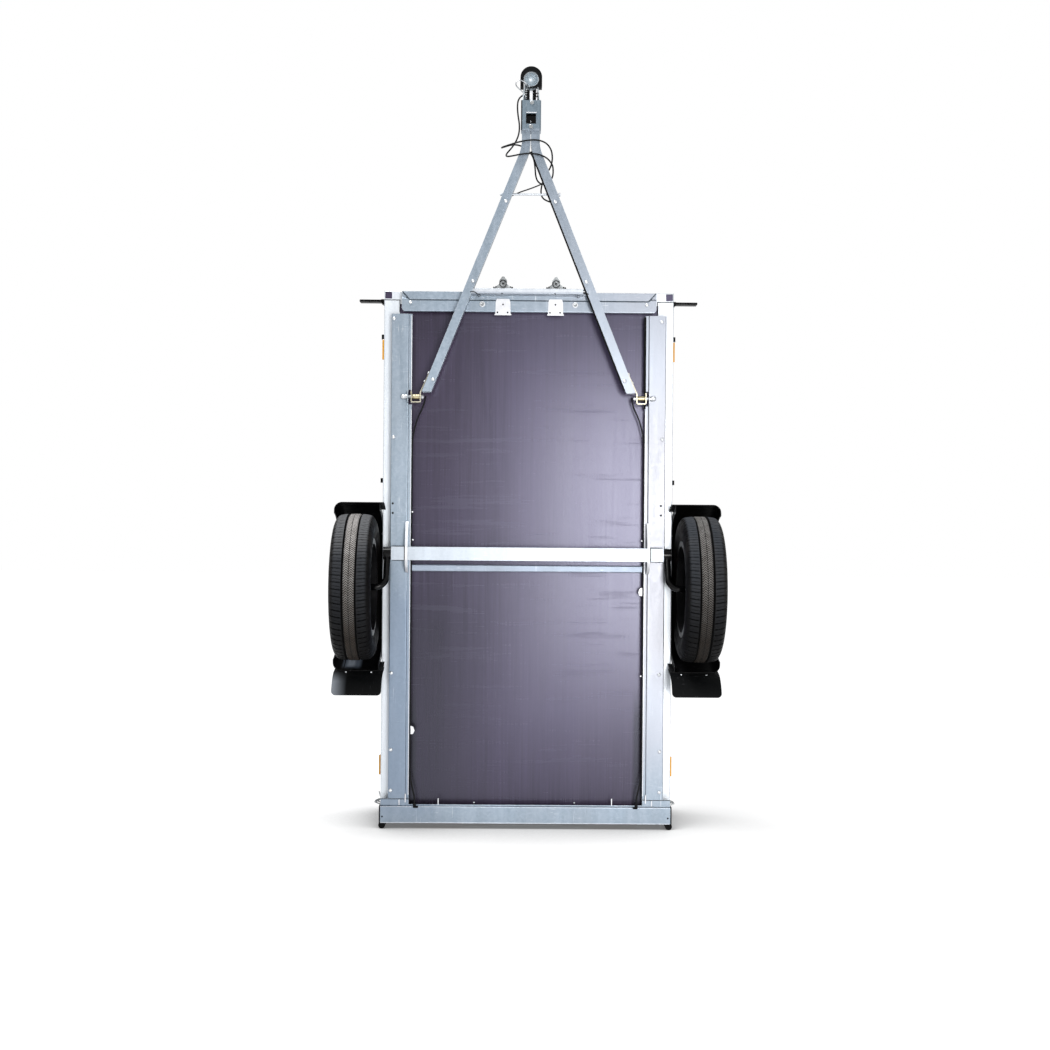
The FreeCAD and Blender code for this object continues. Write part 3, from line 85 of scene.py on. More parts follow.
def gridFaces(rows, columns, wrapRows=False, wrapColumns=False):
    # quad (i, j) joins the grid points (i, j), (i+1, j), (i+1, j+1) and (i, j+1)
    i, j = np.meshgrid(np.arange(rows if wrapRows else rows - 1),
                       np.arange(columns if wrapColumns else columns - 1), indexing="ij")
    k, m = (i + 1) % rows, (j + 1) % columns
    return np.stack([i * columns + j, k * columns + j, k * columns + m, i * columns + m],
                    -1).reshape(-1, 4)


def outward(points, faces):
    # signed volume = sum of p0 . (p1 x p2) / 6 over the triangles; negative means inside out
    total = 0.0
    for size in {len(face) for face in faces}:
        f = np.array([face for face in faces if len(face) == size])
        for k in range(1, size - 1):
            a, b, c = points[f[:, 0]], points[f[:, k]], points[f[:, k + 1]]
            total += np.einsum("ij,ij->", a, np.cross(b, c))
    return faces if total >= 0 else [face[::-1] for face in faces]


def capped(body, sides, poles):
    # rings of points closed by a pole at each end
    points = np.vstack([body, poles])
    rows = len(body) // sides
    first, last = len(points) - 2, len(points) - 1
    j = np.arange(sides)
    k = (j + 1) % sides
    base = (rows - 1) * sides
    faces = gridFaces(rows, sides, wrapColumns=True).tolist()
    faces += np.stack([np.full(sides, first), j, k], 1).tolist()
    faces += np.stack([np.full(sides, last), base + k, base + j], 1).tolist()
    return points, outward(points, faces)


def turned(profile, centre, axis, sides=20, turn=0.0):
    # point(s, a) = centre + along(s) w + radius(s) (cos a u + sin a v); ends close at a pole
    profile = np.asarray(profile, float)
    w = unit(axis)
    across = np.array([0.0, 0.0, 1.0]) if abs(w[2]) < 0.9 else np.array([1.0, 0.0, 0.0])
    u = unit(np.cross(across, w))
    v = np.cross(w, u)
    a = turn + np.arange(sides) * 2 * math.pi / sides
    ring = np.cos(a)[:, None] * u + np.sin(a)[:, None] * v
    rows = profile[1:-1]
    body = np.asarray(centre) + rows[:, None, :1] * w + rows[:, None, 1:] * ring
    return capped(body.reshape(-1, 3), sides, np.asarray(centre) + profile[[0, -1], :1] * w)


def pillow(centre, half, power, rows, columns):
    # superellipsoid: each cosine and sine of the two angles is raised to power, keeping its sign
    def soft(value):
        return np.sign(value) * np.abs(value) ** power
    p = np.linspace(-math.pi / 2, math.pi / 2, rows + 1)[1:-1]
    a = np.arange(columns) * 2 * math.pi / columns
    p, a = np.meshgrid(p, a, indexing="ij")
    body = np.stack([soft(np.cos(p)) * soft(np.cos(a)), soft(np.cos(p)) * soft(np.sin(a)),
                     soft(np.sin(p))], -1).reshape(-1, 3)
    poles = np.array([[0.0, 0.0, -1.0], [0.0, 0.0, 1.0]])
    return capped(centre + body * half, columns, centre + poles * half)


def tubed(path, radius, sides, side=(0, 1, 0)):
    # point(s, a) = path(s) + radius (cos a u(s) + sin a v(s)), u and v square to the path's tangent
    path = np.asarray(path, float)
    tangent = unit(np.gradient(path, axis=0))
    u = unit(np.cross(tangent, np.asarray(side, float)))
    v = np.cross(tangent, u)
    a = np.arange(sides) * 2 * math.pi / sides
    ring = np.cos(a)[None, :, None] * u[:, None] + np.sin(a)[None, :, None] * v[:, None]
    points = (path[:, None] + radius * ring).reshape(-1, 3)
    faces = gridFaces(len(path), sides, wrapColumns=True).tolist()
    faces += [list(range(sides)), list(range(len(points) - 1, len(points) - 1 - sides, -1))]
    return points, outward(points, faces)


def smoothLine(points, count):
    # Catmull-Rom line through the points: each span is a cubic of its four nearest points
    points = np.asarray(points, float)
    padded = np.vstack([2 * points[0] - points[1], points, 2 * points[-1] - points[-2]])
    t = np.linspace(0, len(points) - 1, count)
    k = np.minimum(t.astype(int), len(points) - 2)
    f = (t - k)[:, None]
    a, b, c, d = (padded[k + n] for n in range(4))
    return 0.5 * (2 * b + (c - a) * f + (2 * a - 5 * b + 4 * c - d) * f ** 2
                  + (3 * b - a - 3 * c + d) * f ** 3)


def slab(outline, near, far, edge=0.0006):
    # plate square to Y: rings of the outline at near and far, each with a chamfer of width edge;
    # a corner moves in along its bisector by edge / cos(half the turn)
    outline = np.asarray(outline, float)
    before, after = unit(np.roll(outline, 1, 0) - outline), unit(np.roll(outline, -1, 0) - outline)
    x, z = outline.T
    turning = np.sign(np.sum(x * np.roll(z, -1) - z * np.roll(x, -1)))
    normal = np.stack([-after[:, 1], after[:, 0]], 1) * turning
    other = np.stack([before[:, 1], -before[:, 0]], 1) * turning
    inward = unit(normal + other)
    cosine = np.maximum(np.einsum("ij,ij->i", inward, normal), 0.3)
    shrink = outline + inward * (edge / cosine)[:, None]
    levels = [(shrink, near), (outline, near + edge), (outline, far - edge), (shrink, far)]
    points = np.vstack([np.stack([ring[:, 0], np.full(len(ring), y), ring[:, 1]], 1)
                        for ring, y in levels])
    n = len(outline)
    faces = gridFaces(4, n, wrapColumns=True).tolist()
    faces += [list(range(n)), list(range(4 * n - 1, 3 * n - 1, -1))]
    return points, outward(points, faces)


def strip(x0, x1, z0, z1, near, far, edge=0.0002):
    return slab([(x0, z0), (x1, z0), (x1, z1), (x0, z1)], near, far, edge)


def roundCorners(outline, radius, steps=4):
    # each corner becomes an arc: quadratic blend between the points radius before and after it
    outline = np.asarray(outline, float)
    before, after = np.roll(outline, 1, 0) - outline, np.roll(outline, -1, 0) - outline
    room = np.minimum(np.linalg.norm(before, axis=1), np.linalg.norm(after, axis=1))
    reach = np.minimum(radius, 0.45 * room)[:, None]
    start, end = outline + unit(before) * reach, outline + unit(after) * reach
    t = np.linspace(0, 1, steps + 1)[None, :, None]
    arc = (1 - t) ** 2 * start[:, None] + 2 * t * (1 - t) * outline[:, None] + t ** 2 * end[:, None]
    return arc.reshape(-1, 2)


def onFace(spots, y, profile, sides, turn=0.0):
    # one turned shape at each (x, z) spot of a face at depth y, its axis towards the viewer's side
    return [turned(profile, (x, y, z), (0, -1, 0), sides, turn) for x, z in spots]


def domeProfile(radius, height, rim=0.0008):
    # flat foot, short rim, then a quarter ellipse up to the pole
    a = np.linspace(0, math.pi / 2, 6)
    cap = [(rim + height * math.sin(t), radius * math.cos(t)) for t in a[:-1]]
    return [(-0.0002, 0.0), (-0.0002, radius)] + cap + [(rim + height, 0.0)]


def washerProfile(radius, bore, thick):
    return [(-0.0002, 0.0), (-0.0002, radius), (thick * 0.6, radius), (thick, radius - thick * 0.5),
            (thick, bore), (thick * 0.5, bore * 0.96), (thick * 0.5, 0.0)]


def hexProfile(radius, height):
    return [(0.0, 0.0), (0.0, radius * 0.97), (height * 0.86, radius), (height, radius * 0.86),
            (height * 0.93, radius * 0.55), (height * 0.93, 0.0)]


def placed(name, data, body):
    piece = bpy.data.objects.new(name, data)
    bpy.context.scene.collection.objects.link(piece)
    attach(piece, body)
    return piece


def meshPiece(name, parts, slotName, angle=30, body="chassis", look=None, uv=None):
    # look names another finish than the slot's own; edges sharper than the angle stay hard
    starts = np.cumsum([0] + [len(points) for points, _ in parts])
    points = np.vstack([points for points, _ in parts])
    faces = [[int(n + start) for n in face]
             for start, (_, partFaces) in zip(starts, parts) for face in partFaces]
    mesh = bpy.data.meshes.new(name)
    mesh.from_pydata(points.tolist(), [], faces)
    mesh.update()
    if uv is not None:
        layer = mesh.uv_layers.new(name="surface")
        corners = np.empty(len(mesh.loops), np.int32)
        mesh.loops.foreach_get("vertex_index", corners)
        layer.data.foreach_set("uv", np.asarray(uv, np.float32)[corners].ravel())
    mesh.polygons.foreach_set("use_smooth", np.full(len(mesh.polygons), True))
    mesh.set_sharp_from_angle(angle=math.radians(angle))
    mesh.materials.append(finish[look or slotName])
    return placed(name, mesh, body)


# Shader groups: each puts out masks, shades and heights that several finishes use

def addNode(tree, kind, links=(), **values):
    node = tree.nodes.new("ShaderNode" + kind)
    for key, value in values.items():
        setattr(node, key, value)
    for socket, source in links:
        if hasattr(source, "is_output"):
            tree.links.new(source, node.inputs[socket])
        else:
            node.inputs[socket].default_value = source
    return node


def startGroup(name, inputs, outputs):
    tree = bpy.data.node_groups.new(name, "ShaderNodeTree")
    for labels, way in ((inputs, "INPUT"), (outputs, "OUTPUT")):
        for label in labels:
            tree.interface.new_socket(label, in_out=way, socket_type="NodeSocketFloat")
    return tree, tree.nodes.new("NodeGroupInput").outputs, tree.nodes.new("NodeGroupOutput").inputs


def objectPlace(tree):
    return addNode(tree, "TexCoord").outputs["Object"]


def stretched(tree, source, scale):
    return addNode(tree, "Mapping", [("Vector", source), ("Scale", scale)]).outputs["Vector"]


def noise(tree, place, scale, detail, roughness=0.5):
    return addNode(tree, "TexNoise", [("Vector", place), ("Scale", scale), ("Detail", detail),
                                      ("Roughness", roughness)]).outputs[0]


def ramp(tree, source, low, high, start=0.0, end=1.0):
    return addNode(tree, "MapRange", [("Value", source), ("From Min", low), ("From Max", high),
                                      ("To Min", start), ("To Max", end)]).outputs["Result"]


def maths(tree, operation, a, b=0.0, clamp=False):
    return addNode(tree, "Math", [(0, a), (1, b)], operation=operation, use_clamp=clamp).outputs[0]


def times(tree, a, b, clamp=False):
    return maths(tree, "MULTIPLY", a, b, clamp)


def edgeWearGroup():
    # mask = how far the rounded normal leaves the face's own, broken up by noise
    tree, given, made = startGroup("edgeWear", ["Radius", "Breakup", "Amount"], ["Mask"])
    rounded = addNode(tree, "Bevel", [("Radius", given["Radius"])], samples=4)
    flat = addNode(tree, "NewGeometry")
    agree = addNode(tree, "VectorMath", [(0, rounded.outputs[0]), (1, flat.outputs["Normal"])],
                    operation="DOT_PRODUCT").outputs["Value"]
    broken = ramp(tree, noise(tree, objectPlace(tree), given["Breakup"], 5.0, 0.65), 0.40, 0.62)
    edge = times(tree, ramp(tree, agree, 0.995, 0.86), broken)
    tree.links.new(times(tree, edge, given["Amount"], True), made["Mask"])
    return tree


def grimeGroup():
    # mask = soft large blotches times fine specks, drawn out down the part
    tree, given, made = startGroup("grime", ["Scale", "Amount"], ["Mask"])
    place = objectPlace(tree)
    wide = noise(tree, stretched(tree, place, (1.0, 1.0, 0.22)), given["Scale"], 6.0, 0.6)
    fine = noise(tree, place, 420.0, 3.0)
    both = times(tree, ramp(tree, wide, 0.42, 0.74), ramp(tree, fine, 0.30, 0.65, 0.45))
    tree.links.new(times(tree, both, given["Amount"], True), made["Mask"])
    return tree


def zincSkinGroup():
    # shade = one grey for each crystal, softened with streaks along the part
    tree, given, made = startGroup("zincSkin", ["Crystal", "Streak"], ["Shade", "Height"])
    place = objectPlace(tree)
    bend = addNode(tree, "TexNoise", [("Vector", place), ("Scale", 35.0), ("Detail", 2.0)])
    bent = addNode(tree, "VectorMath", [(0, bend.outputs[1]), (1, (0.02, 0.02, 0.02)), (2, place)],
                   operation="MULTIPLY_ADD").outputs[0]
    cells = addNode(tree, "TexVoronoi", [("Vector", bent), ("Scale", given["Crystal"])])
    crystal = addNode(tree, "SeparateColor", [(0, cells.outputs["Color"])]).outputs[0]
    flow = noise(tree, stretched(tree, place, (14.0, 14.0, 1.3)), 3.0, 5.0)
    streak = times(tree, ramp(tree, flow, 0.3, 0.7), given["Streak"])
    rest = times(tree, crystal, maths(tree, "SUBTRACT", 1.0, given["Streak"]))
    tree.links.new(maths(tree, "ADD", streak, rest, True), made["Shade"])
    height = maths(tree, "ADD", times(tree, crystal, 0.4), noise(tree, place, 700.0, 3.0))
    tree.links.new(height, made["Height"])
    return tree


def grainGroup():
    # height = fine even pimples, with a share of broader waves
    tree, given, made = startGroup("grain", ["Scale", "Wave"], ["Height", "Shade"])
    place = objectPlace(tree)
    wave = noise(tree, place, 45.0, 4.0)
    height = maths(tree, "ADD", noise(tree, place, given["Scale"], 2.0),
                   times(tree, wave, given["Wave"]))
    tree.links.new(height, made["Height"])
    tree.links.new(ramp(tree, wave, 0.3, 0.7), made["Shade"])
    return tree


def scuffGroup():
    # mask = thin broken hair lines in two directions
    tree, given, made = startGroup("scuffs", ["Amount"], ["Mask"])
    place = objectPlace(tree)
    lines = [ramp(tree, noise(tree, stretched(tree, place, scale), 1.0, 4.0), 0.66, 0.74)
             for scale in ((260.0, 30.0, 9.0), (22.0, 60.0, 320.0))]
    patch = ramp(tree, noise(tree, place, 9.0, 3.0), 0.45, 0.6)
    total = times(tree, maths(tree, "MAXIMUM", *lines), patch)
    tree.links.new(times(tree, total, given["Amount"], True), made["Mask"])
    return tree


def paintedCreviceShadeGroup():
    # painted shade: mask = 1 in corners and joints, where little of the sky within reach is open
    tree, given, made = startGroup("paintedCreviceShade", ["Reach", "Amount"], ["Mask"])
    sky = addNode(tree, "AmbientOcclusion", [("Distance", given["Reach"])], samples=4).outputs["AO"]
    closed = ramp(tree, sky, 0.35, 0.85, 1.0, 0.0)
    tree.links.new(times(tree, closed, given["Amount"], True), made["Mask"])
    return tree


groups = {"edgeWear": edgeWearGroup(), "grime": grimeGroup(), "zincSkin": zincSkinGroup(),
          "grain": grainGroup(), "scuffs": scuffGroup(), "paintedCreviceShade": paintedCreviceShadeGroup()}
print("shader groups made")


# Finishes

def tone(red, green, blue):
    # screen values 0..255 to the shader's linear values
    c = np.array([red, green, blue]) / 255.0
    linear = np.where(c <= 0.04045, c / 12.92, ((c + 0.055) / 1.055) ** 2.4)
    return (*linear.tolist(), 1.0)


def placeGroup(tree, name, **values):
    return addNode(tree, "Group", list(values.items()), node_tree=groups[name]).outputs


def mixed(tree, factor, first, second):
    # inputs 6 and 7 of the node are its two colours, output 2 is the blend
    return addNode(tree, "Mix", [(0, factor), (6, first), (7, second)],
                   data_type="RGBA", blend_type="MIX").outputs[2]


def layered(tree, colour, layers):
    # lays each (mask, screen tone) over what is there
    for mask, shade in layers:
        colour = mixed(tree, mask, colour, tone(*shade))
    return colour


def newMaterial(name):
    material = bpy.data.materials.new(name)
    material.use_nodes = True
    return material, material.node_tree, material.node_tree.nodes["Principled BSDF"]


def surfaced(tree, shader, colour, rough, height, strength, distance):
    bump = addNode(tree, "Bump", [("Strength", strength), ("Distance", distance),
                                  ("Height", height)])
    for source, socket in ((colour, "Base Color"), (rough, "Roughness"),
                           (bump.outputs[0], "Normal")):
        tree.links.new(source, shader.inputs[socket])


# skin: the group and its two values; tones: base, second shade, grime, wear and scuffs; shares:
# how much grime and how much wear; rough: smooth and rough end; bump: strength and distance
skinInputs = {"zincSkin": ("Crystal", "Streak"), "grain": ("Scale", "Wave")}
finishes = {
    "galvanised": {
        "skin": ("zincSkin", 120.0, 0.55), "patch": "zincPaintedLightAndShade",
        "tones": [(117, 130, 142), (136, 147, 159), (96, 98, 100),
                  (235, 238, 242), (230, 232, 236)],
        "shares": (0.3, 0.7), "metallic": 0.7, "rough": (0.32, 0.38), "bump": (0.08, 0.0006)},
    # a paler copy of galvanised, painted light, for the axle tube and the rear beam's highlight
    # lines
    "axleZincPaintedLight": {
        "skin": ("zincSkin", 150.0, 0.6),
        "tones": [(160, 168, 178), (177, 185, 194), (120, 122, 122),
                  (240, 242, 246), (238, 240, 242)],
        "shares": (0.3, 0.6), "metallic": 0.5, "rough": (0.38, 0.48), "bump": (0.08, 0.0005)},
    "memberZinc": {
        "skin": ("zincSkin", 150.0, 0.6),
        "tones": [(118, 128, 142), (134, 144, 158), (100, 102, 104),
                  (235, 238, 242), (230, 232, 236)],
        "shares": (0.3, 0.6), "metallic": 0.6, "rough": (0.38, 0.48), "bump": (0.08, 0.0005)},
    "sheet_steel": {
        "skin": ("zincSkin", 260.0, 0.7),
        "tones": [(192, 198, 204), (209, 214, 220), (120, 122, 124),
                  (236, 238, 242), (236, 238, 242)],
        "shares": (0.2, 0.5), "metallic": 0.5, "rough": (0.30, 0.44), "bump": (0.06, 0.0004)},
    "bright_zinc": {
        "skin": ("grain", 700.0, 0.4),
        "paintedCreviceShade": (0.012, 0.85), "outline": (0.50, 0.90, 0.75),
        "tones": [(190, 194, 198), (212, 215, 219), (90, 88, 84), (244, 244, 246), (240, 240, 242)],
        "shares": (0.3, 0.6), "metallic": 0.55, "rough": (0.24, 0.40), "bump": (0.05, 0.0003)},
    "platedSteel": {
        "skin": ("grain", 700.0, 0.4),
        "paintedCreviceShade": (0.014, 1.0), "outline": (0.35, 0.72, 0.95),
        "tones": [(120, 124, 126), (176, 180, 182), (40, 40, 38), (226, 228, 230), (220, 222, 224)],
        "shares": (0.5, 0.8), "metallic": 0.75, "rough": (0.20, 0.34), "bump": (0.06, 0.0003)},
    "castZinc": {
        "skin": ("grain", 500.0, 0.5), "paintedCreviceShade": (0.012, 0.6),
        "tones": [(176, 188, 196), (200, 210, 216), (60, 62, 62), (236, 238, 240), (226, 228, 230)],
        "shares": (0.2, 0.7), "metallic": 0.35, "rough": (0.30, 0.44), "bump": (0.06, 0.0003)},
    "whitePlate": {
        "skin": ("grain", 700.0, 0.4), "paintedCreviceShade": (0.006, 0.5),
        "tones": [(212, 214, 218), (226, 227, 231), (130, 130, 128),
                  (240, 240, 242), (240, 240, 242)],
        "shares": (0.2, 0.4), "metallic": 0.3, "rough": (0.36, 0.50), "bump": (0.05, 0.0003)},
    "barSteel": {
        "skin": ("grain", 700.0, 0.4), "patch": "barShade",
        "tones": [(174, 179, 186), (188, 193, 199), (110, 112, 114),
                  (240, 240, 242), (230, 232, 236)],
        "shares": (0.2, 0.4), "metallic": 0.4, "rough": (0.34, 0.46), "bump": (0.05, 0.0003)},
    "strapZinc": {
        "skin": ("grain", 700.0, 0.4), "paintedCreviceShade": (0.010, 0.9),
        "tones": [(150, 146, 128), (180, 176, 158), (70, 64, 52), (226, 222, 210), (216, 212, 200)],
        "shares": (0.35, 0.7), "metallic": 0.6, "rough": (0.26, 0.40), "bump": (0.06, 0.0003)},
    "shadeLine": {
        "skin": ("grain", 650.0, 0.6), "specular": 0.2,
        "tones": [(52, 62, 72), (70, 82, 92), (30, 32, 34), (120, 126, 132), (110, 116, 122)],
        "shares": (0.3, 0.2), "metallic": 0.0, "rough": (0.5, 0.7), "bump": (0.1, 0.0002)},
    "yellow_zinc": {
        "skin": ("zincSkin", 300.0, 0.4), "paintedCreviceShade": (0.010, 0.9),
        "tones": [(158, 148, 116), (186, 176, 146), (70, 62, 46), (214, 210, 196), (206, 200, 184)],
        "shares": (0.45, 0.6), "metallic": 0.75, "rough": (0.24, 0.40), "bump": (0.06, 0.0003)},
    "wire_steel": {
        "skin": ("grain", 900.0, 0.5), "outline": (0.30, 0.70, 0.9),
        "tones": [(140, 144, 148), (186, 190, 194), (70, 70, 70), (240, 240, 242), (240, 240, 242)],
        "shares": (0.4, 0.3), "metallic": 0.8, "rough": (0.26, 0.42), "bump": (0.1, 0.0003)},
    "black_steel": {
        "skin": ("grain", 500.0, 0.8), "specular": 0.13,
        "tones": [(3, 3, 4), (5, 5, 6), (40, 38, 36), (130, 132, 136), (60, 62, 66)],
        "shares": (0.05, 0.5), "metallic": 0.0, "rough": (0.10, 0.22), "bump": (0.08, 0.0004)},
    "black_plastic": {
        "skin": ("grain", 1100.0, 0.3), "specular": 0.07, "patch": "guard",
        "tones": [(4, 4, 5), (9, 9, 10), (60, 58, 56), (70, 70, 74), (64, 64, 68)],
        "shares": (0.02, 0.35), "metallic": 0.0, "rough": (0.38, 0.56), "bump": (0.25, 0.0005)},
    "black_rubber": {
        "skin": ("grain", 650.0, 0.6), "specular": 0.07, "patch": "flap",
        "tones": [(3, 4, 5), (7, 8, 9), (70, 68, 64), (80, 80, 82), (80, 80, 84)],
        "shares": (0.03, 0.4), "metallic": 0.0, "rough": (0.55, 0.8), "bump": (0.35, 0.0008)},
    "cable_black": {
        "skin": ("grain", 1400.0, 0.5), "specular": 0.12,
        "tones": [(3, 4, 5), (7, 8, 10), (80, 76, 70), (60, 60, 62), (50, 50, 54)],
        "shares": (0.04, 0.1), "metallic": 0.0, "rough": (0.36, 0.54), "bump": (0.15, 0.0003)},
    "wheel_silver": {
        "skin": ("grain", 1500.0, 0.5), "specular": 0.15, "patch": "rim",
        "tones": [(176, 178, 184), (196, 198, 204), (70, 64, 58), (90, 86, 80), (120, 120, 122)],
        "shares": (0.45, 0.3), "metallic": 0.5, "rough": (0.26, 0.42), "bump": (0.08, 0.0003)}}

# patches laid over finishes, most of them painted light and painted shade: colour, its share, then
# for each axis the span (metres) that the patch fills and the soft width at its ends; the rim
# patch, near-black over the inboard part of each rim, takes X on both sides of the middle
paintedPatches = {
    # galvanised: painted light, a more neutral grey towards the upper right; painted shade on the
    # right rail beside the axle, on the lower left and on the parts above 2.66 m by the coupling
    "zincPaintedLightAndShade": [((136, 138, 146), 0.75, {0: (0.52, 9.0, 0.60), 2: (0.35, 9.0, 0.25)}),
                  ((112, 112, 116), 0.65, {0: (0.40, 0.60, 0.02), 2: (0.70, 1.50, 0.25)}),
                  ((90, 104, 124), 0.55, {0: (-9.0, -0.40, 0.10), 2: (0.16, 0.85, 0.20)}),
                  ((88, 106, 116), 0.55, {2: (2.660, 9.0, 0.008)})],
    # cross bar: painted shade along its lower edge
    "barShade": [((116, 126, 140), 0.6, {2: (2.030, 2.037, 0.006)})],
    # board: a painted sheen, pale violet, right of the middle; painted shade over the lower left
    # and in a dark band along each rail's edge, low down
    "board": [((140, 134, 168), 0.14, {0: (0.0, 0.60, 0.30), 2: (0.45, 2.2, 0.40)}),
              ((12, 6, 16), 0.65, {0: (-9.0, -0.34, 0.25), 2: (0.0, 0.75, 0.2)}),
              ((6, 6, 8), 0.85, {0: (0.420, 0.60, 0.012), 2: (0.0, 0.42, 0.12)}),
              ((6, 6, 8), 0.85, {0: (-0.60, -0.428, 0.010), 2: (0.0, 0.42, 0.12)})],
    # left guard: painted reflection, a pale bluish patch with a brighter core, crossed by a thin
    # black line
    "guard": [((112, 122, 138), 1.0, {0: (-0.690, -0.640, 0.014), 2: (0.618, 0.634, 0.010)}),
              ((190, 200, 214), 0.8, {0: (-0.676, -0.660, 0.012), 2: (0.620, 0.632, 0.008)}),
              ((4, 4, 5), 1.0, {0: (-0.6945, -0.6915, 0.0008), 2: (0.60, 0.66, 0.01)})],
    # left flap: painted reflection over its outer part
    "flap": [((122, 127, 134), 0.85, {0: (-0.760, -0.722, 0.050), 2: (0.46, 0.570, 0.030)})],
    "rim": [((7, 7, 8), 0.985, {0: (0.560, 0.672, 0.003)})]}


def window(tree, value, low, high, soft):
    # 1 inside the span, falling to 0 over the soft width at each end
    return times(tree, ramp(tree, value, low - soft, low), ramp(tree, value, high + soft, high))


def paintPatches(tree, colour, name):
    spot = addNode(tree, "SeparateXYZ", [(0, objectPlace(tree))])
    for shade, mask, spans in paintedPatches[name]:
        for axis, span in spans.items():
            value = spot.outputs[axis]
            if name == "rim":
                value = maths(tree, "ABSOLUTE", value)
            mask = times(tree, window(tree, value, *span), mask)
        colour = mixed(tree, mask, colour, tone(*shade))
    return colour


def makeFinish(name, recipe):
    material, tree, shader = newMaterial(name)
    shader.inputs["Metallic"].default_value = recipe["metallic"]
    shader.inputs["Specular IOR Level"].default_value = recipe.get("specular", 0.5)
    base, second, grimy, bare, scuffed = recipe["tones"]
    skinName, *skinValues = recipe["skin"]
    grimeShare, wearShare = recipe["shares"]
    skin = placeGroup(tree, skinName, **dict(zip(skinInputs[skinName], skinValues)))
    grime = placeGroup(tree, "grime", Scale=7.0, Amount=grimeShare)
    wear = placeGroup(tree, "edgeWear", Radius=0.0018, Breakup=70.0, Amount=wearShare)
    scuffs = placeGroup(tree, "scuffs", Amount=0.6)
    layers = [(scuffs["Mask"], scuffed), (grime["Mask"], grimy), (wear["Mask"], bare)]
    # painted shade, dark grey, in corners and joints
    if "paintedCreviceShade" in recipe:
        reach, amount = recipe["paintedCreviceShade"]
        corner = placeGroup(tree, "paintedCreviceShade", Reach=reach, Amount=amount)
        layers.append((corner["Mask"], (34, 36, 38)))
    if "outline" in recipe:
        # painted reflection: polished round metal is darkened along its edges, as if it mirrored a
        # dark room there
        low, high, amount = recipe["outline"]
        facing = addNode(tree, "LayerWeight").outputs["Facing"]
        layers.append((ramp(tree, facing, low, high, 0.0, amount), (26, 28, 30)))
    colour = mixed(tree, skin["Shade"], tone(*base), tone(*second))
    colour = layered(tree, colour, layers)
    if "patch" in recipe:
        colour = paintPatches(tree, colour, recipe["patch"])
    smooth, rough = recipe["rough"]
    uneven = maths(tree, "ADD", times(tree, skin["Shade"], 0.5), times(tree, grime["Mask"], 0.9))
    surfaced(tree, shader, colour, ramp(tree, uneven, 0.0, 1.0, smooth, rough + 0.1),
             skin["Height"], *recipe["bump"])
    return material


def makePlywood():
    # film-faced board: dark violet-brown film, fine grain up the board, paler towards one side
    # through a painted sheen
    material, tree, shader = newMaterial("plywood")
    shader.inputs["Specular Tint"].default_value = (0.78, 0.80, 1.0, 1.0)
    place = objectPlace(tree)
    grain = noise(tree, stretched(tree, place, (150.0, 40.0, 3.0)), 1.0, 8.0, 0.65)
    broad = noise(tree, stretched(tree, place, (9.0, 9.0, 0.7)), 1.0, 4.0)
    level = noise(tree, stretched(tree, place, (2.2, 1.0, 34.0)), 1.0, 5.0, 0.6)
    veins = maths(tree, "ADD", times(tree, ramp(tree, grain, 0.32, 0.68), 0.65),
                  times(tree, ramp(tree, broad, 0.3, 0.7), 0.35))
    smear = ramp(tree, level, 0.55, 0.72)
    scuffs = placeGroup(tree, "scuffs", Amount=0.25)
    grime = placeGroup(tree, "grime", Scale=4.0, Amount=0.15)
    colour = mixed(tree, veins, tone(33, 24, 38), tone(54, 44, 66))
    colour = layered(tree, colour, [(scuffs["Mask"], (120, 112, 130)),
                                    (grime["Mask"], (96, 88, 90)),
                                    (times(tree, smear, 0.5), (34, 28, 46))])
    rough = maths(tree, "ADD", ramp(tree, veins, 0.0, 1.0, 0.22, 0.28), times(tree, smear, 0.10))
    surfaced(tree, shader, paintPatches(tree, colour, "board"), rough, grain, 0.12, 0.0004)
    return material


def makeLens(name, base, deep):
    # prism plate: rows of small dimples under a clear gloss skin
    lens = {"spacing": 0.0040, "Coat Weight": 0.12, "Coat Roughness": 0.08,
            "Specular IOR Level": 0.08}
    material, tree, shader = newMaterial(name)
    for socket in ("Coat Weight", "Coat Roughness", "Specular IOR Level"):
        shader.inputs[socket].default_value = lens[socket]
    cells = addNode(tree, "TexVoronoi", [("Vector", objectPlace(tree)),
                                         ("Scale", 1.0 / lens["spacing"]),
                                         ("Randomness", 0.0)]).outputs["Distance"]
    colour = mixed(tree, ramp(tree, cells, 0.05, 0.6), tone(*base), tone(*deep))
    surfaced(tree, shader, colour, ramp(tree, cells, 0.0, 0.7, 0.12, 0.3), cells, 0.7, 0.001)
    return material


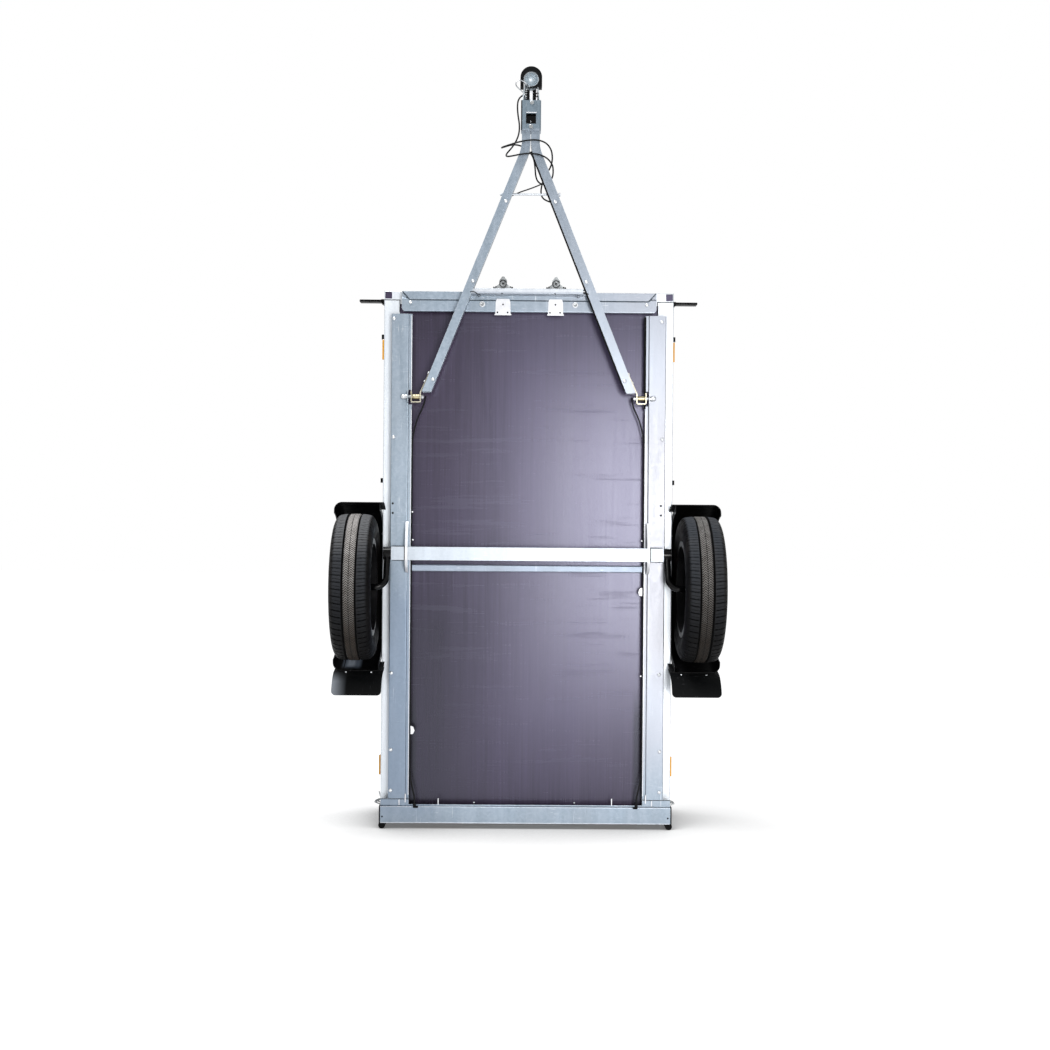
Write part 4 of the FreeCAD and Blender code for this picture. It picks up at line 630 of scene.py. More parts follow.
def makeTyreRubber():
    # surface map u counts the tread's pitches round the tyre, v is the distance across in metres
    material, tree, shader = newMaterial("tyre_rubber")
    shader.inputs["Specular IOR Level"].default_value = 0.06
    spot = addNode(tree, "SeparateXYZ", [(0, addNode(tree, "UVMap", uv_map="surface").outputs[0])])
    u, v = spot.outputs[0], spot.outputs[1]
    across = maths(tree, "ABSOLUTE", v)

    def stripes(perPitch, shift, low, high):
        # dark cuts round the tyre, so many to a pitch, each shifted by the distance across
        line = maths(tree, "FRACT", maths(tree, "ADD", times(tree, u, perPitch), shift))
        return ramp(tree, maths(tree, "ABSOLUTE", maths(tree, "SUBTRACT", line, 0.5)), low, high)

    # centre band: zigzag cuts, their slope turning over every 9 mm across
    sipe = stripes(3.0, times(tree, maths(tree, "PINGPONG", v, 0.0090), 120.0), 0.16, 0.24)
    centreBand = ramp(tree, across, 0.0205, 0.0195)
    middleLine = ramp(tree, across, 0.0014, 0.0006)
    sipe = times(tree, sipe, maths(tree, "SUBTRACT", 1.0, middleLine))
    shoulderBand = times(tree, ramp(tree, across, 0.0275, 0.0285),
                         ramp(tree, across, 0.0600, 0.0580))
    slot = stripes(2.0, times(tree, across, 12.0), 0.04, 0.10)
    groove = maths(tree, "SUBTRACT", ramp(tree, across, 0.0200, 0.0210),
                   ramp(tree, across, 0.0270, 0.0280), True)
    cut = maths(tree, "ADD", times(tree, maths(tree, "SUBTRACT", 1.0, sipe), centreBand),
                times(tree, maths(tree, "SUBTRACT", 1.0, slot), shoulderBand), True)
    dust = placeGroup(tree, "grime", Scale=9.0, Amount=0.4)
    grain = placeGroup(tree, "grain", Scale=900.0, Wave=0.6)
    place = addNode(tree, "SeparateXYZ", [(0, objectPlace(tree))])
    # painted light: the tread is painted paler towards the top, the left tyre's top gets a painted
    # highlight, and the right one's band is painted darker as shade; the dust is laid thicker where
    # the top is painted paler
    paintedTopLight = ramp(tree, place.outputs[2], 0.74, 1.20)
    leftSide = ramp(tree, place.outputs[0], 0.1, -0.1)
    crown = times(tree, ramp(tree, place.outputs[2], 1.03, 1.16), leftSide)
    shoulder = mixed(tree, paintedTopLight, tone(8, 8, 9), tone(58, 61, 66))
    shoulder = mixed(tree, crown, shoulder, tone(94, 95, 97))
    bandWithPaintedLight = mixed(tree, paintedTopLight, tone(48, 44, 40), tone(186, 183, 180))
    bandWithPaintedLight = layered(tree, bandWithPaintedLight, [(times(tree, grain["Shade"], 0.5), (74, 66, 60)),
                              (times(tree, crown, 0.35), (214, 208, 204)),
                              (ramp(tree, leftSide, 0.0, 1.0, 0.42, 0.08), (8, 7, 6))])
    side = mixed(tree, grain["Shade"], tone(4, 4, 5), tone(8, 8, 9))
    colour = mixed(tree, ramp(tree, across, 0.064, 0.056), side, shoulder)
    colour = mixed(tree, centreBand, colour, bandWithPaintedLight)
    colour = layered(tree, colour, [(times(tree, dust["Mask"], paintedTopLight), (84, 80, 76)),
                                    (times(tree, cut, 0.95), (5, 5, 5)), (groove, (5, 5, 5))])
    height = maths(tree, "SUBTRACT", times(tree, grain["Height"], 0.12), cut)
    surfaced(tree, shader, colour, ramp(tree, grain["Shade"], 0.0, 1.0, 0.48, 0.72),
             height, 0.8, 0.0012)
    return material


finish = {name: makeFinish(name, recipe) for name, recipe in finishes.items()}
finish["plywood"] = makePlywood()
finish["tyre_rubber"] = makeTyreRubber()
finish["amber_lens"] = makeLens("amber_lens", (250, 196, 40), (222, 142, 16))
finish["red_lens"] = makeLens("red_lens", (120, 10, 10), (70, 4, 6))

# nodes that look different from others of their slot
ownFinish = {"axle_tube": "axleZincPaintedLight", "cross_member": "memberZinc", "tie_rod": "barSteel",
             "toggle_latches": "platedSteel", "coupling_head": "castZinc",
             "gate_latches": "platedSteel", "catch_plates": "whitePlate",
             "cross_bar": "barSteel", "clevises": "strapZinc"}
for part in frame["record"]["subparts"]:
    for holder in nodes[part["node"]].material_slots:
        holder.material = finish[ownFinish.get(part["node"], part["material_slot"])]
print("finishes made and given to the nodes")


# Free cords, their routes in millimetres

safetyCable = {"diameter": 0.004, "length": 0.1530, "route": [
    (-12, -60.2, 2823), (-13, -73.7, 2822), (-27, -80.8, 2832), (-44, -79.8, 2840),
    (-57, -77.7, 2834), (-59, -76.7, 2819), (-46, -76.7, 2806), (-30, -76.7, 2793),
    (-21, -72.7, 2781), (-23, -61.7, 2773), (-28, -51.7, 2770)]}
plugLead = {"diameter": 0.006, "length": 1.4400, "route": [
    (12, 2.2, 2758.5), (15, 3.2, 2789), (-4, 4.3, 2808), (-30, 4.3, 2808), (-49, 1.3, 2789),
    (-52, -3.7, 2758), (-49, -6.7, 2724), (-43, -8.8, 2690), (-44, -10.7, 2656),
    (-54, -13.8, 2626), (-72, -14.7, 2598), (-93, -33.8, 2570), (-93, -60.7, 2553),
    (-70, -80.8, 2551), (-36, -80.8, 2559), (-2, -80.8, 2562), (31, -79.8, 2559),
    (62, -78.8, 2546), (83, -58.7, 2526), (87, -29.7, 2512), (86, -7.7, 2490),
    (70, 2.2, 2468), (46, 3.2, 2463), (28, 2.2, 2474), (20, 1.3, 2496), (18, 0.3, 2530),
    (12, 0.3, 2566), (-8, 1.3, 2594), (-36, 3.2, 2612), (-68, 2.2, 2616), (-97, -9.7, 2604),
    (-112, -35.7, 2592), (-108, -64.8, 2588), (-84, -81.8, 2592), (-50, -82.8, 2603),
    (-12, -82.8, 2611), (26, -82.8, 2613), (58, -75.7, 2604), (78, -57.8, 2584),
    (84, -31.8, 2558), (80, -14.7, 2532), (66, -10.7, 2508), (52, -11.8, 2484),
    (44, -12.7, 2458), (40, -17.7, 2430), (45, -28.8, 2406), (61, -39.8, 2392),
    (80, -44.3, 2385)]}
branchCable = {"diameter": 0.005, "length": 0.1850, "route": [
    (74, -20.6, 2474), (42, -19.8, 2459), (2, -25.7, 2441), (-34, -26.7, 2429),
    (-62, -19.8, 2418), (-96, -20.6, 2402)]}
for cord in (safetyCable, plugLead, branchCable):
    cord["route"] = [tuple(value / 1000 for value in spot) for spot in cord["route"]]


def layCord(name, cord, body, slotName, replaced):
    curve = bpy.data.curves.new(name, "CURVE")
    curve.dimensions = "3D"
    spline = curve.splines.new("NURBS")
    spline.points.add(len(cord["route"]) - 1)
    weighted = np.column_stack([np.array(cord["route"]), np.ones(len(cord["route"]))])
    spline.points.foreach_set("co", weighted.ravel())
    spline.order_u = 3
    spline.use_endpoint_u = True
    curve.resolution_u = 8
    curve.bevel_depth = cord["diameter"] / 2
    curve.bevel_resolution = 4
    curve.use_fill_caps = True
    curve.materials.append(finish[slotName])
    piece = placed(name, curve, body)
    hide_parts(replaced)
    return piece


safetyLoop = layCord("safetyLoop", safetyCable, "drawbar", "wire_steel", "safety_cable")
trailingLead = layCord("trailingLead", plugLead, "drawbar", "cable_black", "plug_lead")
lampBranch = layCord("lampBranch", branchCable, "drawbar", "cable_black", "branch_cable")
print("cords laid")


# Tyres: section carried round the axle, with grooves and blocks sunk into the tread

# section: (distance across, radius), from the bead over the sidewall to the crown, then the inner
# side's middle and its way back to the bead; the other half is its mirror image
tyre = {"side": 0.643, "axle": (-0.11825, 0.921), "pitches": 66, "steps": 12, "outer": 0.2735,
        "grooves": (-0.0240, 0.0240), "grooveWidth": 0.0062, "grooveDepth": 0.0065,
        "grooveWall": 0.0011, "slotWidth": 0.0034, "slotDepth": 0.0055, "slotSlant": 0.10,
        "slotWall": 0.0012, "slotStart": (0.0285, 0.002), "slotEnd": (0.0690, 0.006),
        "slantFrom": 0.027, "slantOver": 0.026, "treadReach": 0.072, "treadFrom": 0.25,
        "sidewall": [(0.0560, 0.1700), (0.0615, 0.1740), (0.0655, 0.1860), (0.0710, 0.2040),
                     (0.0755, 0.2230), (0.0745, 0.2410), (0.0690, 0.2560), (0.0615, 0.2655),
                     (0.0510, 0.2700), (0.0300, 0.2728)],
        "inside": [(0.0480, 0.1720), (0.0300, 0.1800)], "insideMiddle": (0.0, 0.1830)}


def treadDepth(across, turn):
    # depth = groove valleys across, plus shoulder slots each pitch, slanted with the distance
    depth = np.zeros_like(across)
    for groove in tyre["grooves"]:
        wall = (tyre["grooveWidth"] / 2 - np.abs(across - groove)) / tyre["grooveWall"]
        depth = np.maximum(depth, np.clip(wall, 0, 1) * tyre["grooveDepth"])
    away = np.abs(across)
    phase = turn * tyre["pitches"] / (2 * math.pi)
    slant = (away - tyre["slantFrom"]) * tyre["slotSlant"] / tyre["slantOver"]
    shifted = phase + slant + np.where(across > 0, 0.5, 0.0)
    near = np.abs(shifted - np.round(shifted)) * 2 * math.pi * tyre["outer"] / tyre["pitches"]
    slot = np.clip((tyre["slotWidth"] / 2 - near) / tyre["slotWall"] + 0.5, 0, 1)
    (start, rise), (end, fall) = tyre["slotStart"], tyre["slotEnd"]
    slot *= np.clip((away - start) / rise, 0, 1) * np.clip((end - away) / fall, 0, 1)
    return np.maximum(depth, slot * tyre["slotDepth"])


def makeTyre(name, side, body, replaced):
    right, inside = tyre["sidewall"], tyre["inside"]
    left = [(-x, r) for x, r in right]
    crown = (0.0, tyre["outer"])
    inner = [right[0], *inside, tyre["insideMiddle"], *[(-x, r) for x, r in inside[::-1]], left[0]]
    lines = ((left + [crown], 56), ([crown] + right[::-1], 56), (inner, 9))
    section = np.vstack([smoothLine(line, count)[:-1] for line, count in lines])
    turns = tyre["pitches"] * tyre["steps"]
    turn = np.arange(turns) * 2 * math.pi / turns
    across, around = np.meshgrid(section[:, 0], turn)
    radius = np.broadcast_to(section[:, 1], across.shape).copy()
    tread = (radius > tyre["treadFrom"]) & (np.abs(across) < tyre["treadReach"])
    radius -= np.where(tread, treadDepth(across, around), 0.0)
    points = np.stack([side + across, tyre["axle"][0] + radius * np.cos(around),
                       tyre["axle"][1] + radius * np.sin(around)], -1).reshape(-1, 3)
    faces = gridFaces(turns, len(section), wrapRows=True, wrapColumns=True).tolist()
    uv = np.stack([around * tyre["pitches"] / (2 * math.pi), across], -1).reshape(-1, 2)
    piece = meshPiece(name, [(points, outward(points, faces))], "tyre_rubber", 40, body, uv=uv)
    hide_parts(replaced)


makeTyre("roadTyreLeft", -tyre["side"], "wheel_left", "tyre_left")
makeTyre("roadTyreRight", tyre["side"], "wheel_right", "tyre_right")
print("tyres made")


# Front beam: lip laid on the strip, painted shadow line under the lip's edge, bolts, washers and
# rivets

beam = {"face": -0.01875, "lipNear": -0.0205, "lipFar": -0.0140, "shadowNear": -0.0196,
        "lip": [(-0.4820, 2.0465), (-0.4550, 2.0160), (0.4550, 2.0160), (0.4820, 2.0465)],
        "shadowStrip": [(-0.4862, 2.0455), (-0.4810, 2.0465), (-0.4545, 2.0168), (0.4545, 2.0168),
                 (0.4810, 2.0465), (0.4862, 2.0455), (0.4572, 2.0118), (-0.4572, 2.0118)],
        "endBolts": [(-0.4533, 2.0048), (0.4494, 2.0020)],
        "washers": [(-0.1795, 1.9998), (0.1755, 1.9994)],
        "rivets": [(-0.1005, 1.9986), (-0.1213, 1.9683), (-0.0827, 1.9683), (0.0998, 1.9994),
                   (0.0791, 1.9687), (0.1173, 1.9690)], "plateFace": -0.02125,
        "round": 0.003, "shadowFar": -0.01475, "shadowEdge": 0.0002, "bolt": (0.0072, 0.0038),
        "washer": (0.0112, 0.0064, 0.0018), "hex": (0.0062, 0.0048), "hexFace": -0.01935,
        "hexTurn": 0.4, "rivet": (0.0032, 0.0012, 0.0003)}
beamBolts = onFace(beam["endBolts"], beam["face"], domeProfile(*beam["bolt"]), 18)
beamBolts += onFace(beam["washers"], beam["face"], washerProfile(*beam["washer"]), 24)

meshPiece("beamLip", [slab(roundCorners(beam["lip"], beam["round"]), beam["lipNear"],
                           beam["lipFar"])], "galvanised")
# a dark strip under the lip's lower edge: painted shadow
meshPiece("beamLipShadow", [slab(beam["shadowStrip"], beam["shadowNear"], beam["shadowFar"], beam["shadowEdge"])],
          "galvanised", look="shadeLine")
meshPiece("beamBolts", beamBolts, "bright_zinc", 35)
meshPiece("beamHexes", onFace(beam["washers"], beam["hexFace"], hexProfile(*beam["hex"]), 6,
                              beam["hexTurn"]), "bright_zinc", look="platedSteel")
meshPiece("plateRivets", onFace(beam["rivets"], beam["plateFace"], domeProfile(*beam["rivet"]),
                                12), "black_steel", 35)
print("front beam dressed")


# Sheet seams: the joints of the folded walls under the floor, and the ledge of the rear beam

seams = {"wall": (0.03075, 0.03155), "half": 0.0015, "ledge": (-0.02115, -0.02035),
         "ledgeHalf": 0.0012,
         "across": [(-0.5565, -0.4960, 2.0200), (0.4930, 0.5565, 2.0205)],
         "along": [(-0.4975, 1.9730, 2.0200), (0.4945, 1.9690, 2.0205)],
         "ledgeLines": [(-0.5525, -0.4465, 0.1100), (0.4465, 0.5525, 0.1100)]}
half, ledgeHalf = seams["half"], seams["ledgeHalf"]
seamParts = [strip(x0, x1, z - half, z + half, *seams["wall"]) for x0, x1, z in seams["across"]]
seamParts += [strip(x - half, x + half, z0, z1, *seams["wall"]) for x, z0, z1 in seams["along"]]
seamParts += [strip(x0, x1, z - ledgeHalf, z + ledgeHalf, *seams["ledge"])
              for x0, x1, z in seams["ledgeLines"]]
meshPiece("sheetSeams", seamParts, "black_rubber")


# Rails: bolts, open holes drawn as dark discs of painted shade, cable clips and the small tabs by
# the rear beam

rails = {"face": -0.01875, "lip": -0.01275, "floor": 0.0330, "rearFace": -0.03175,
         "bolts": [(-0.5150, 1.9415), (0.5075, 1.9379), (-0.5140, 1.4895), (0.5120, 1.4890),
                   (-0.5152, 0.5896), (0.5067, 0.5902), (-0.5150, 0.2972), (0.5110, 0.2960),
                   (-0.5149, 0.1417), (0.5110, 0.1400)],
         "floorScrews": [(-0.1975, 0.0880), (0.1890, 0.0890)],
         "holes": [(-0.5150, 1.2363), (-0.5147, 1.2000), (0.5089, 1.2347), (0.5091, 1.1984)],
         "rearHoles": [(-0.5451, 0.0447), (0.5434, 0.0435)],
         "lugs": [(-0.4450, 0.3720), (0.4450, 0.9052)],
         "lugShape": [(0.0, -0.0160), (0.0150, -0.0150), (0.0200, -0.0020), (0.0150, 0.0130),
                      (0.0, 0.0180)],
         "clips": [(-0.4399, 1.2042), (0.4370, 1.1003), (-0.4371, 1.0978), (0.4371, 0.5838)],
         "tabs": [(-0.4815, 0.0870, 0.1080, -0.0240), (0.4815, 0.0870, 0.1080, -0.0240),
                  (-0.4580, 0.0980, 0.1300, -0.0250), (0.4580, 0.0980, 0.1300, -0.0250),
                  (-0.3326, 0.0890, 0.1130, -0.0210), (0.3290, 0.0890, 0.1150, -0.0210)],
         "grommets": [(-0.4180, -0.0335, 0.0826), (0.4180, -0.0335, 0.0826)],
         "bolt": (0.0070, 0.0040), "screw": (0.0036, 0.0030), "hole": (0.0042, 0.0003, 0.0001),
         "rearHole": (0.0034, 0.0003, 0.0001), "lugRound": 0.004, "lugGauge": 0.0022,
         "clipHalf": (0.0028, 0.0026), "clipHeight": 0.0040, "clipEdge": 0.0008,
         "tabHalf": 0.0018, "tabDepth": 0.0040, "tabEdge": 0.0004, "sunk": 0.0002,
         "grommetHalf": (0.0100, 0.0028, 0.0042), "grommetPower": 0.5}
lip, tabHalf = rails["lip"], rails["tabHalf"]
foot = lip + rails["sunk"]
clipX, clipZ = rails["clipHalf"]
railBolts = onFace(rails["bolts"], rails["face"], domeProfile(*rails["bolt"]), 18)
railBolts += onFace(rails["floorScrews"], rails["floor"], domeProfile(*rails["screw"]), 14)
# open holes drawn as flat dark discs: painted shade inside them
railHoleShade = onFace(rails["holes"], rails["face"], domeProfile(*rails["hole"]), 14)
railHoleShade += onFace(rails["rearHoles"], rails["rearFace"], domeProfile(*rails["rearHole"]), 14)
tabs = [slab(roundCorners([(x - np.sign(x) * a, z + b) for a, b in rails["lugShape"]],
                          rails["lugRound"]), lip - rails["lugGauge"], foot)
        for x, z in rails["lugs"]]
tabs += [strip(x - clipX, x + clipX, z - clipZ, z + clipZ, lip - rails["clipHeight"], foot,
               rails["clipEdge"]) for x, z in rails["clips"]]
tabs += [strip(x - tabHalf, x + tabHalf, z0, z1, y, y + rails["tabDepth"], rails["tabEdge"])
         for x, z0, z1, y in rails["tabs"]]
grommets = [pillow(np.array(spot), np.array(rails["grommetHalf"]), rails["grommetPower"], 8, 16)
            for spot in rails["grommets"]]

meshPiece("railBolts", railBolts, "bright_zinc", 35)
meshPiece("railHoleShade", railHoleShade, "black_rubber", 35)
meshPiece("railTabs", tabs, "bright_zinc", look="whitePlate")
meshPiece("cableGrommets", grommets, "black_rubber", 40)

# painted highlight along the outer edge of each rail's lip and painted shadow as a dark strip
# inside it; the right front run is all dark
lips = {"edge": (0.4470, 0.4492), "shadowStrip": (0.4442, 0.4462), "face": -0.01325,
        "shadowFar": -0.01075, "darkFar": -0.01195,
        "rearRun": (0.1250, 1.5950), "frontRun": (1.6200, 1.9550),
        "darkRun": (0.4400, 0.4486, 1.6050, 1.9560)}
runs = [(-1, lips["rearRun"]), (-1, lips["frontRun"]), (1, lips["rearRun"])]


def lipStrips(name, near, far):
    inner, outer = lips[name]
    return [strip(*((inner, outer) if side > 0 else (-outer, -inner)), *run, near, far)
            for side, run in runs]


lipDarkStrips = lipStrips("shadowStrip", lip, lips["shadowFar"])
lipDarkStrips.insert(2, strip(*lips["darkRun"], lips["face"], lips["darkFar"]))
meshPiece("railLipHighlights", lipStrips("edge", lips["face"], foot), "galvanised", look="whitePlate")
meshPiece("railLipDarkStrips", lipDarkStrips, "black_rubber")


def sideStrip(side, x0, x1, *rest):
    return strip(side * x0, side * x1, *rest)


lensRims = {"x": (0.5579, 0.5678), "y": (0.0796, 0.0838), "edge": 0.0008,
            "levels": [(1.7960, 1.8720), (0.1860, 0.2620)]}
meshPiece("reflectorRims", [sideStrip(side, *lensRims["x"], *level, *lensRims["y"],
                                      lensRims["edge"])
                            for side in (-1, 1) for level in lensRims["levels"]], "amber_lens")
# pale lines on the rear beam's top and bottom edges: painted highlights
rearHighlightLines = {"x": (-0.5520, 0.5520), "y": (-0.0322, -0.0314),
             "levels": [(0.0206, 0.0240), (0.0822, 0.0838)]}
meshPiece("rearBeamHighlights", [strip(*rearHighlightLines["x"], *level, *rearHighlightLines["y"])
                            for level in rearHighlightLines["levels"]], "galvanised", look="axleZincPaintedLight")


# Axle: a flange bent over the outer edge of each axle plate, painted shadow lines at the tube, and
# the guards' fixing screws

axle = {"station": 1.047, "x": (0.4535, 0.4635), "gauge": 0.0024,
        "edge": [(0.1175, -0.0200), (0.1150, -0.0380), (0.0350, -0.0735), (-0.0350, -0.0735),
                 (-0.0690, -0.0400), (-0.0740, -0.0200)],
        "tubeShadow": (0.4638, 0.4674, 1.0210, 1.0730, -0.0692, -0.0685), "edgeShadowX": (0.4640, 0.5155),
        "edgeShadowZ": [(1.0716, 1.0750), (1.0184, 1.0222)], "edgeShadowY": (-0.0205, -0.0185)}


def bentStrip(outline, x0, x1, gauge):
    # flat bar bent along an outline of (station, height) pairs, its faces square to the line
    line = smoothLine(outline, 40)
    tangent = unit(np.gradient(line, axis=0))
    away = np.stack([tangent[:, 1], -tangent[:, 0]], 1) * gauge
    rings = []
    for x, shift in ((x0, 0.0), (x1, 0.0), (x1, 1.0), (x0, 1.0)):
        side = line + away * shift
        rings.append(np.stack([np.full(len(line), x), side[:, 1], side[:, 0]], 1))
    points = np.stack(rings, 1).reshape(-1, 3)
    faces = gridFaces(len(line), 4, wrapColumns=True).tolist()
    faces += [[0, 1, 2, 3], list(range(len(points) - 1, len(points) - 5, -1))]
    return points, outward(points, faces)


edgeLine = [(axle["station"] + z, y) for z, y in axle["edge"]]
# dark strips beside each axle plate and along the tube's top and bottom edges outboard of it:
# painted shadow
axleShadowStrips = [sideStrip(side, *axle["tubeShadow"]) for side in (-1, 1)]
axleShadowStrips += [sideStrip(side, *axle["edgeShadowX"], *level, *axle["edgeShadowY"])
         for side in (-1, 1) for level in axle["edgeShadowZ"]]
guardScrews = {"x": 0.5610, "spots": [(0.0900, 1.1195), (0.0900, 0.7180)],
               "size": (0.0065, 0.0030)}
flapRivets = {"face": -0.0930, "size": (0.0035, 0.0016),
              "spots": [(-0.6799, 0.5990), (-0.5848, 0.5990), (0.5834, 0.5970),
                        (0.6790, 0.5960)]}

meshPiece("axlePlateFlanges", [bentStrip(edgeLine, side * axle["x"][0], side * axle["x"][1],
                                         axle["gauge"]) for side in (-1, 1)],
          "galvanised", 40, look="whitePlate")
meshPiece("axleShadowLines", axleShadowStrips, "black_rubber")
meshPiece("guardScrews", [turned(domeProfile(*guardScrews["size"]),
                                 (side * guardScrews["x"], y, z), (side, 0, 0), 14)
                          for side in (-1, 1) for y, z in guardScrews["spots"]], "bright_zinc", 35)
meshPiece("flapRivets", onFace(flapRivets["spots"], flapRivets["face"],
                               domeProfile(*flapRivets["size"]), 12), "bright_zinc", 35)
print("rails, axle and guards dressed")


# Drawbar: bolts on the arms and straps, split pins, and the dark rings and dots of the latches

arms = {"face": -0.06875, "bolts": [(-0.0921, 2.3833), (0.0949, 2.3814), (-0.2145, 2.0793),
                                    (0.2150, 2.0790), (-0.3627, 1.7057), (0.3627, 1.7057)],
        "strapBolts": [(0.3948, 1.7012), (0.3808, 1.7330)], "strapHeight": -0.0425,
        "strapNormal": (0.914, 0, 0.405), "bolt": (0.0072, 0.0042), "strapBolt": (0.0062, 0.0040)}
pins = {"wire": 0.0011, "ring": 0.0046, "height": -0.0600, "dot": (0.0030, 0.0006, 0.0002),
        "spots": [(-0.1914, 2.0262), (0.1853, 2.0255)],
        "tails": [([(-0.2250, -0.0690, 2.0385), (-0.2130, -0.0692, 2.0400),
                    (-0.2060, -0.0690, 2.0370), (-0.1960, -0.0640, 2.0300)], 16),
                  ([(0.2240, -0.0690, 2.0330), (0.2120, -0.0692, 2.0390),
                    (0.2030, -0.0690, 2.0400)], 12)], "tailWire": 0.0016,
        "barDots": [(-0.1044, 2.0335), (0.0963, 2.0335)], "barFace": -0.0668}
latch = {"x": 0.1005, "z": 2.0715, "height": -0.0652, "ring": 0.0130, "wire": 0.0014,
         "dot": (0.0026, 0.0010, 0.0003), "middle": (0.0034, 0.0010, 0.0003),
         "dotFace": -0.0650, "dots": [(-0.0350, 2.0572), (-0.0275, 2.0592), (0.0290, 2.0588),
                                      (0.0350, 2.0572)]}


def ringPath(x, z, y, radius, count):
    a = np.linspace(0.2, 2 * math.pi - 0.2, count)
    return np.stack([x + radius * np.cos(a), np.full(count, y), z + radius * np.sin(a)], 1)


nx, ny, nz = arms["strapNormal"]
meshPiece("armBolts", onFace(arms["bolts"], arms["face"], domeProfile(*arms["bolt"]), 18),
          "bright_zinc", 35, "drawbar")
meshPiece("strapBolts", [turned(domeProfile(*arms["strapBolt"]),
                                (side * x, arms["strapHeight"], z), (side * nx, ny, nz), 14)
                         for side in (-1, 1) for x, z in arms["strapBolts"]],
          "bright_zinc", 35, "drawbar")

pinParts = [tubed(ringPath(x, z, pins["height"], pins["ring"], 20), pins["wire"], 8)
            for x, z in pins["spots"]]
pinParts += [tubed(smoothLine(line, count), pins["tailWire"], 8) for line, count in pins["tails"]]
pinParts += onFace(pins["barDots"], pins["barFace"], domeProfile(*pins["dot"]), 12)
for x in (-latch["x"], latch["x"]):
    pinParts.append(tubed(ringPath(x, latch["z"], latch["height"], latch["ring"], 28),
                          latch["wire"], 8))
    pinParts += onFace([(x + reach, z) for reach, z in latch["dots"]], latch["dotFace"],
                       domeProfile(*latch["dot"]), 12)
    pinParts += onFace([(x, latch["z"])], latch["height"], domeProfile(*latch["middle"]), 12)
meshPiece("splitPins", pinParts, "black_steel", 40, "drawbar")


# Coupling: spring, bars, cross pins and strip in the neck with painted shade behind them; plate
# with a painted highlight, bolts, and painted shade at the bracket's fold and window

coupling = {"barDepth": (-0.0580, -0.0480), "centreBar": (-0.0055, 0.0060, 2.7655, 2.8060),
            "stripRight": (0.0185, 0.0240, 2.7655, 2.8130), "barEdge": 0.0010,
            "pinSpots": [(0.0090, -0.0585, 2.7950), (0.0090, -0.0585, 2.7835)],
            "pin": [(0.0, 0.0), (0.0, 0.0022), (0.0190, 0.0022), (0.0190, 0.0)],
            "neckShade": (-0.0300, 0.0300, 2.7660, 2.8120, -0.0430, -0.0390, 0.0005),
            "plate": [(-0.0185, 2.7170), (0.0215, 2.7170), (0.0215, 2.7610), (-0.0185, 2.7610)],
            "plateRound": 0.003, "plateDepth": (-0.07635, -0.07455),
            "plateHighlight": (-0.0180, 0.0210, 2.7165, 2.7190, -0.07675, -0.07595),
            "bolts": [(0.0030, 2.7550), (0.0002, 2.6640)], "boltFace": -0.07615,
            "hex": (0.0085, 0.0055), "hexTurn": 0.5, "windowBolt": (0.0, 2.6879),
            "windowFace": -0.0560, "dome": (0.0034, 0.0020),
            "window": (-0.0260, 0.0260, 2.6760, 2.7420, -0.0560, -0.0520, 0.0005),
            "fold": (-0.0376, -0.0335, 2.6510, 2.7640, -0.07505, -0.07455, 0.0001)}
spring = {"x": -0.0200, "y": -0.0500, "z": (2.7700, 2.8130), "radius": 0.0062, "wire": 0.0013,
          "turns": 6.5, "steps": 120}

# the spring's wire runs round the Z axis as it climbs
angle = np.linspace(0, 2 * math.pi * spring["turns"], spring["steps"])
helix = np.stack([spring["x"] + spring["radius"] * np.cos(angle),
                  spring["y"] + spring["radius"] * np.sin(angle),
                  np.linspace(*spring["z"], spring["steps"])], 1)
neckBars = [strip(*coupling[name], *coupling["barDepth"], coupling["barEdge"])
            for name in ("centreBar", "stripRight")]
neckPinsAndShade = [turned(coupling["pin"], spot, (1, 0, 0), 12) for spot in coupling["pinSpots"]]
# a dark plate behind the neck's bars and pins: painted shade
neckPinsAndShade.append(strip(*coupling["neckShade"]))
plate = slab(roundCorners(coupling["plate"], coupling["plateRound"]), *coupling["plateDepth"])
bracketBolts = onFace(coupling["bolts"], coupling["boltFace"], hexProfile(*coupling["hex"]), 6,
                      coupling["hexTurn"])
bracketBolts += onFace([coupling["windowBolt"]], coupling["windowFace"],
                       domeProfile(*coupling["dome"]), 12)

meshPiece("neckSpring", [tubed(helix, spring["wire"], 6, (0, 0, 1))], "bright_zinc", 60,
          "drawbar", "platedSteel")
meshPiece("neckBars", neckBars, "bright_zinc", 30, "drawbar", "whitePlate")
meshPiece("neckPinsAndShade", neckPinsAndShade, "black_steel", 35, "drawbar")
meshPiece("bracketPlate", [plate], "galvanised", 30, "drawbar")
# a pale strip along the bracket plate's lower edge: painted highlight
meshPiece("bracketEdgeHighlight", [strip(*coupling["plateHighlight"])], "galvanised", 30, "drawbar",
          "whitePlate")
meshPiece("bracketBolts", bracketBolts, "bright_zinc", 30, "drawbar", "platedSteel")
# a dark strip along the bracket's fold and a dark plate in its window: painted shade
meshPiece("bracketShade", [strip(*coupling["fold"]), strip(*coupling["window"])], "black_steel",
          30, "drawbar")
print("drawbar and coupling dressed")


# Studio

studio = {"floorHalf": 30.0, "floorTone": 0.86, "shownTone": 0.25, "floorGlow": 1.0,
          "floorDark": 0.12, "floorRough": 0.9, "floorGap": 0.0002, "shadeReach": 0.7,
          "worldGlow": 0.34, "worldTint": (0.95, 0.97, 1.0, 1.0), "aim": (0.0, 0.0, 1.1)}
lamps = {"keyLamp": {"place": (0.90, -5.0, 1.15), "size": (1.1, 1.9), "power": 150.0,
                     "tint": (1.0, 0.985, 0.97)},
         "topLamp": {"place": (-1.3, -1.0, 5.0), "size": (1.6, 1.6), "power": 170.0,
                     "tint": (0.98, 0.99, 1.0)}}
white = (1.0, 1.0, 1.0, 1.0)


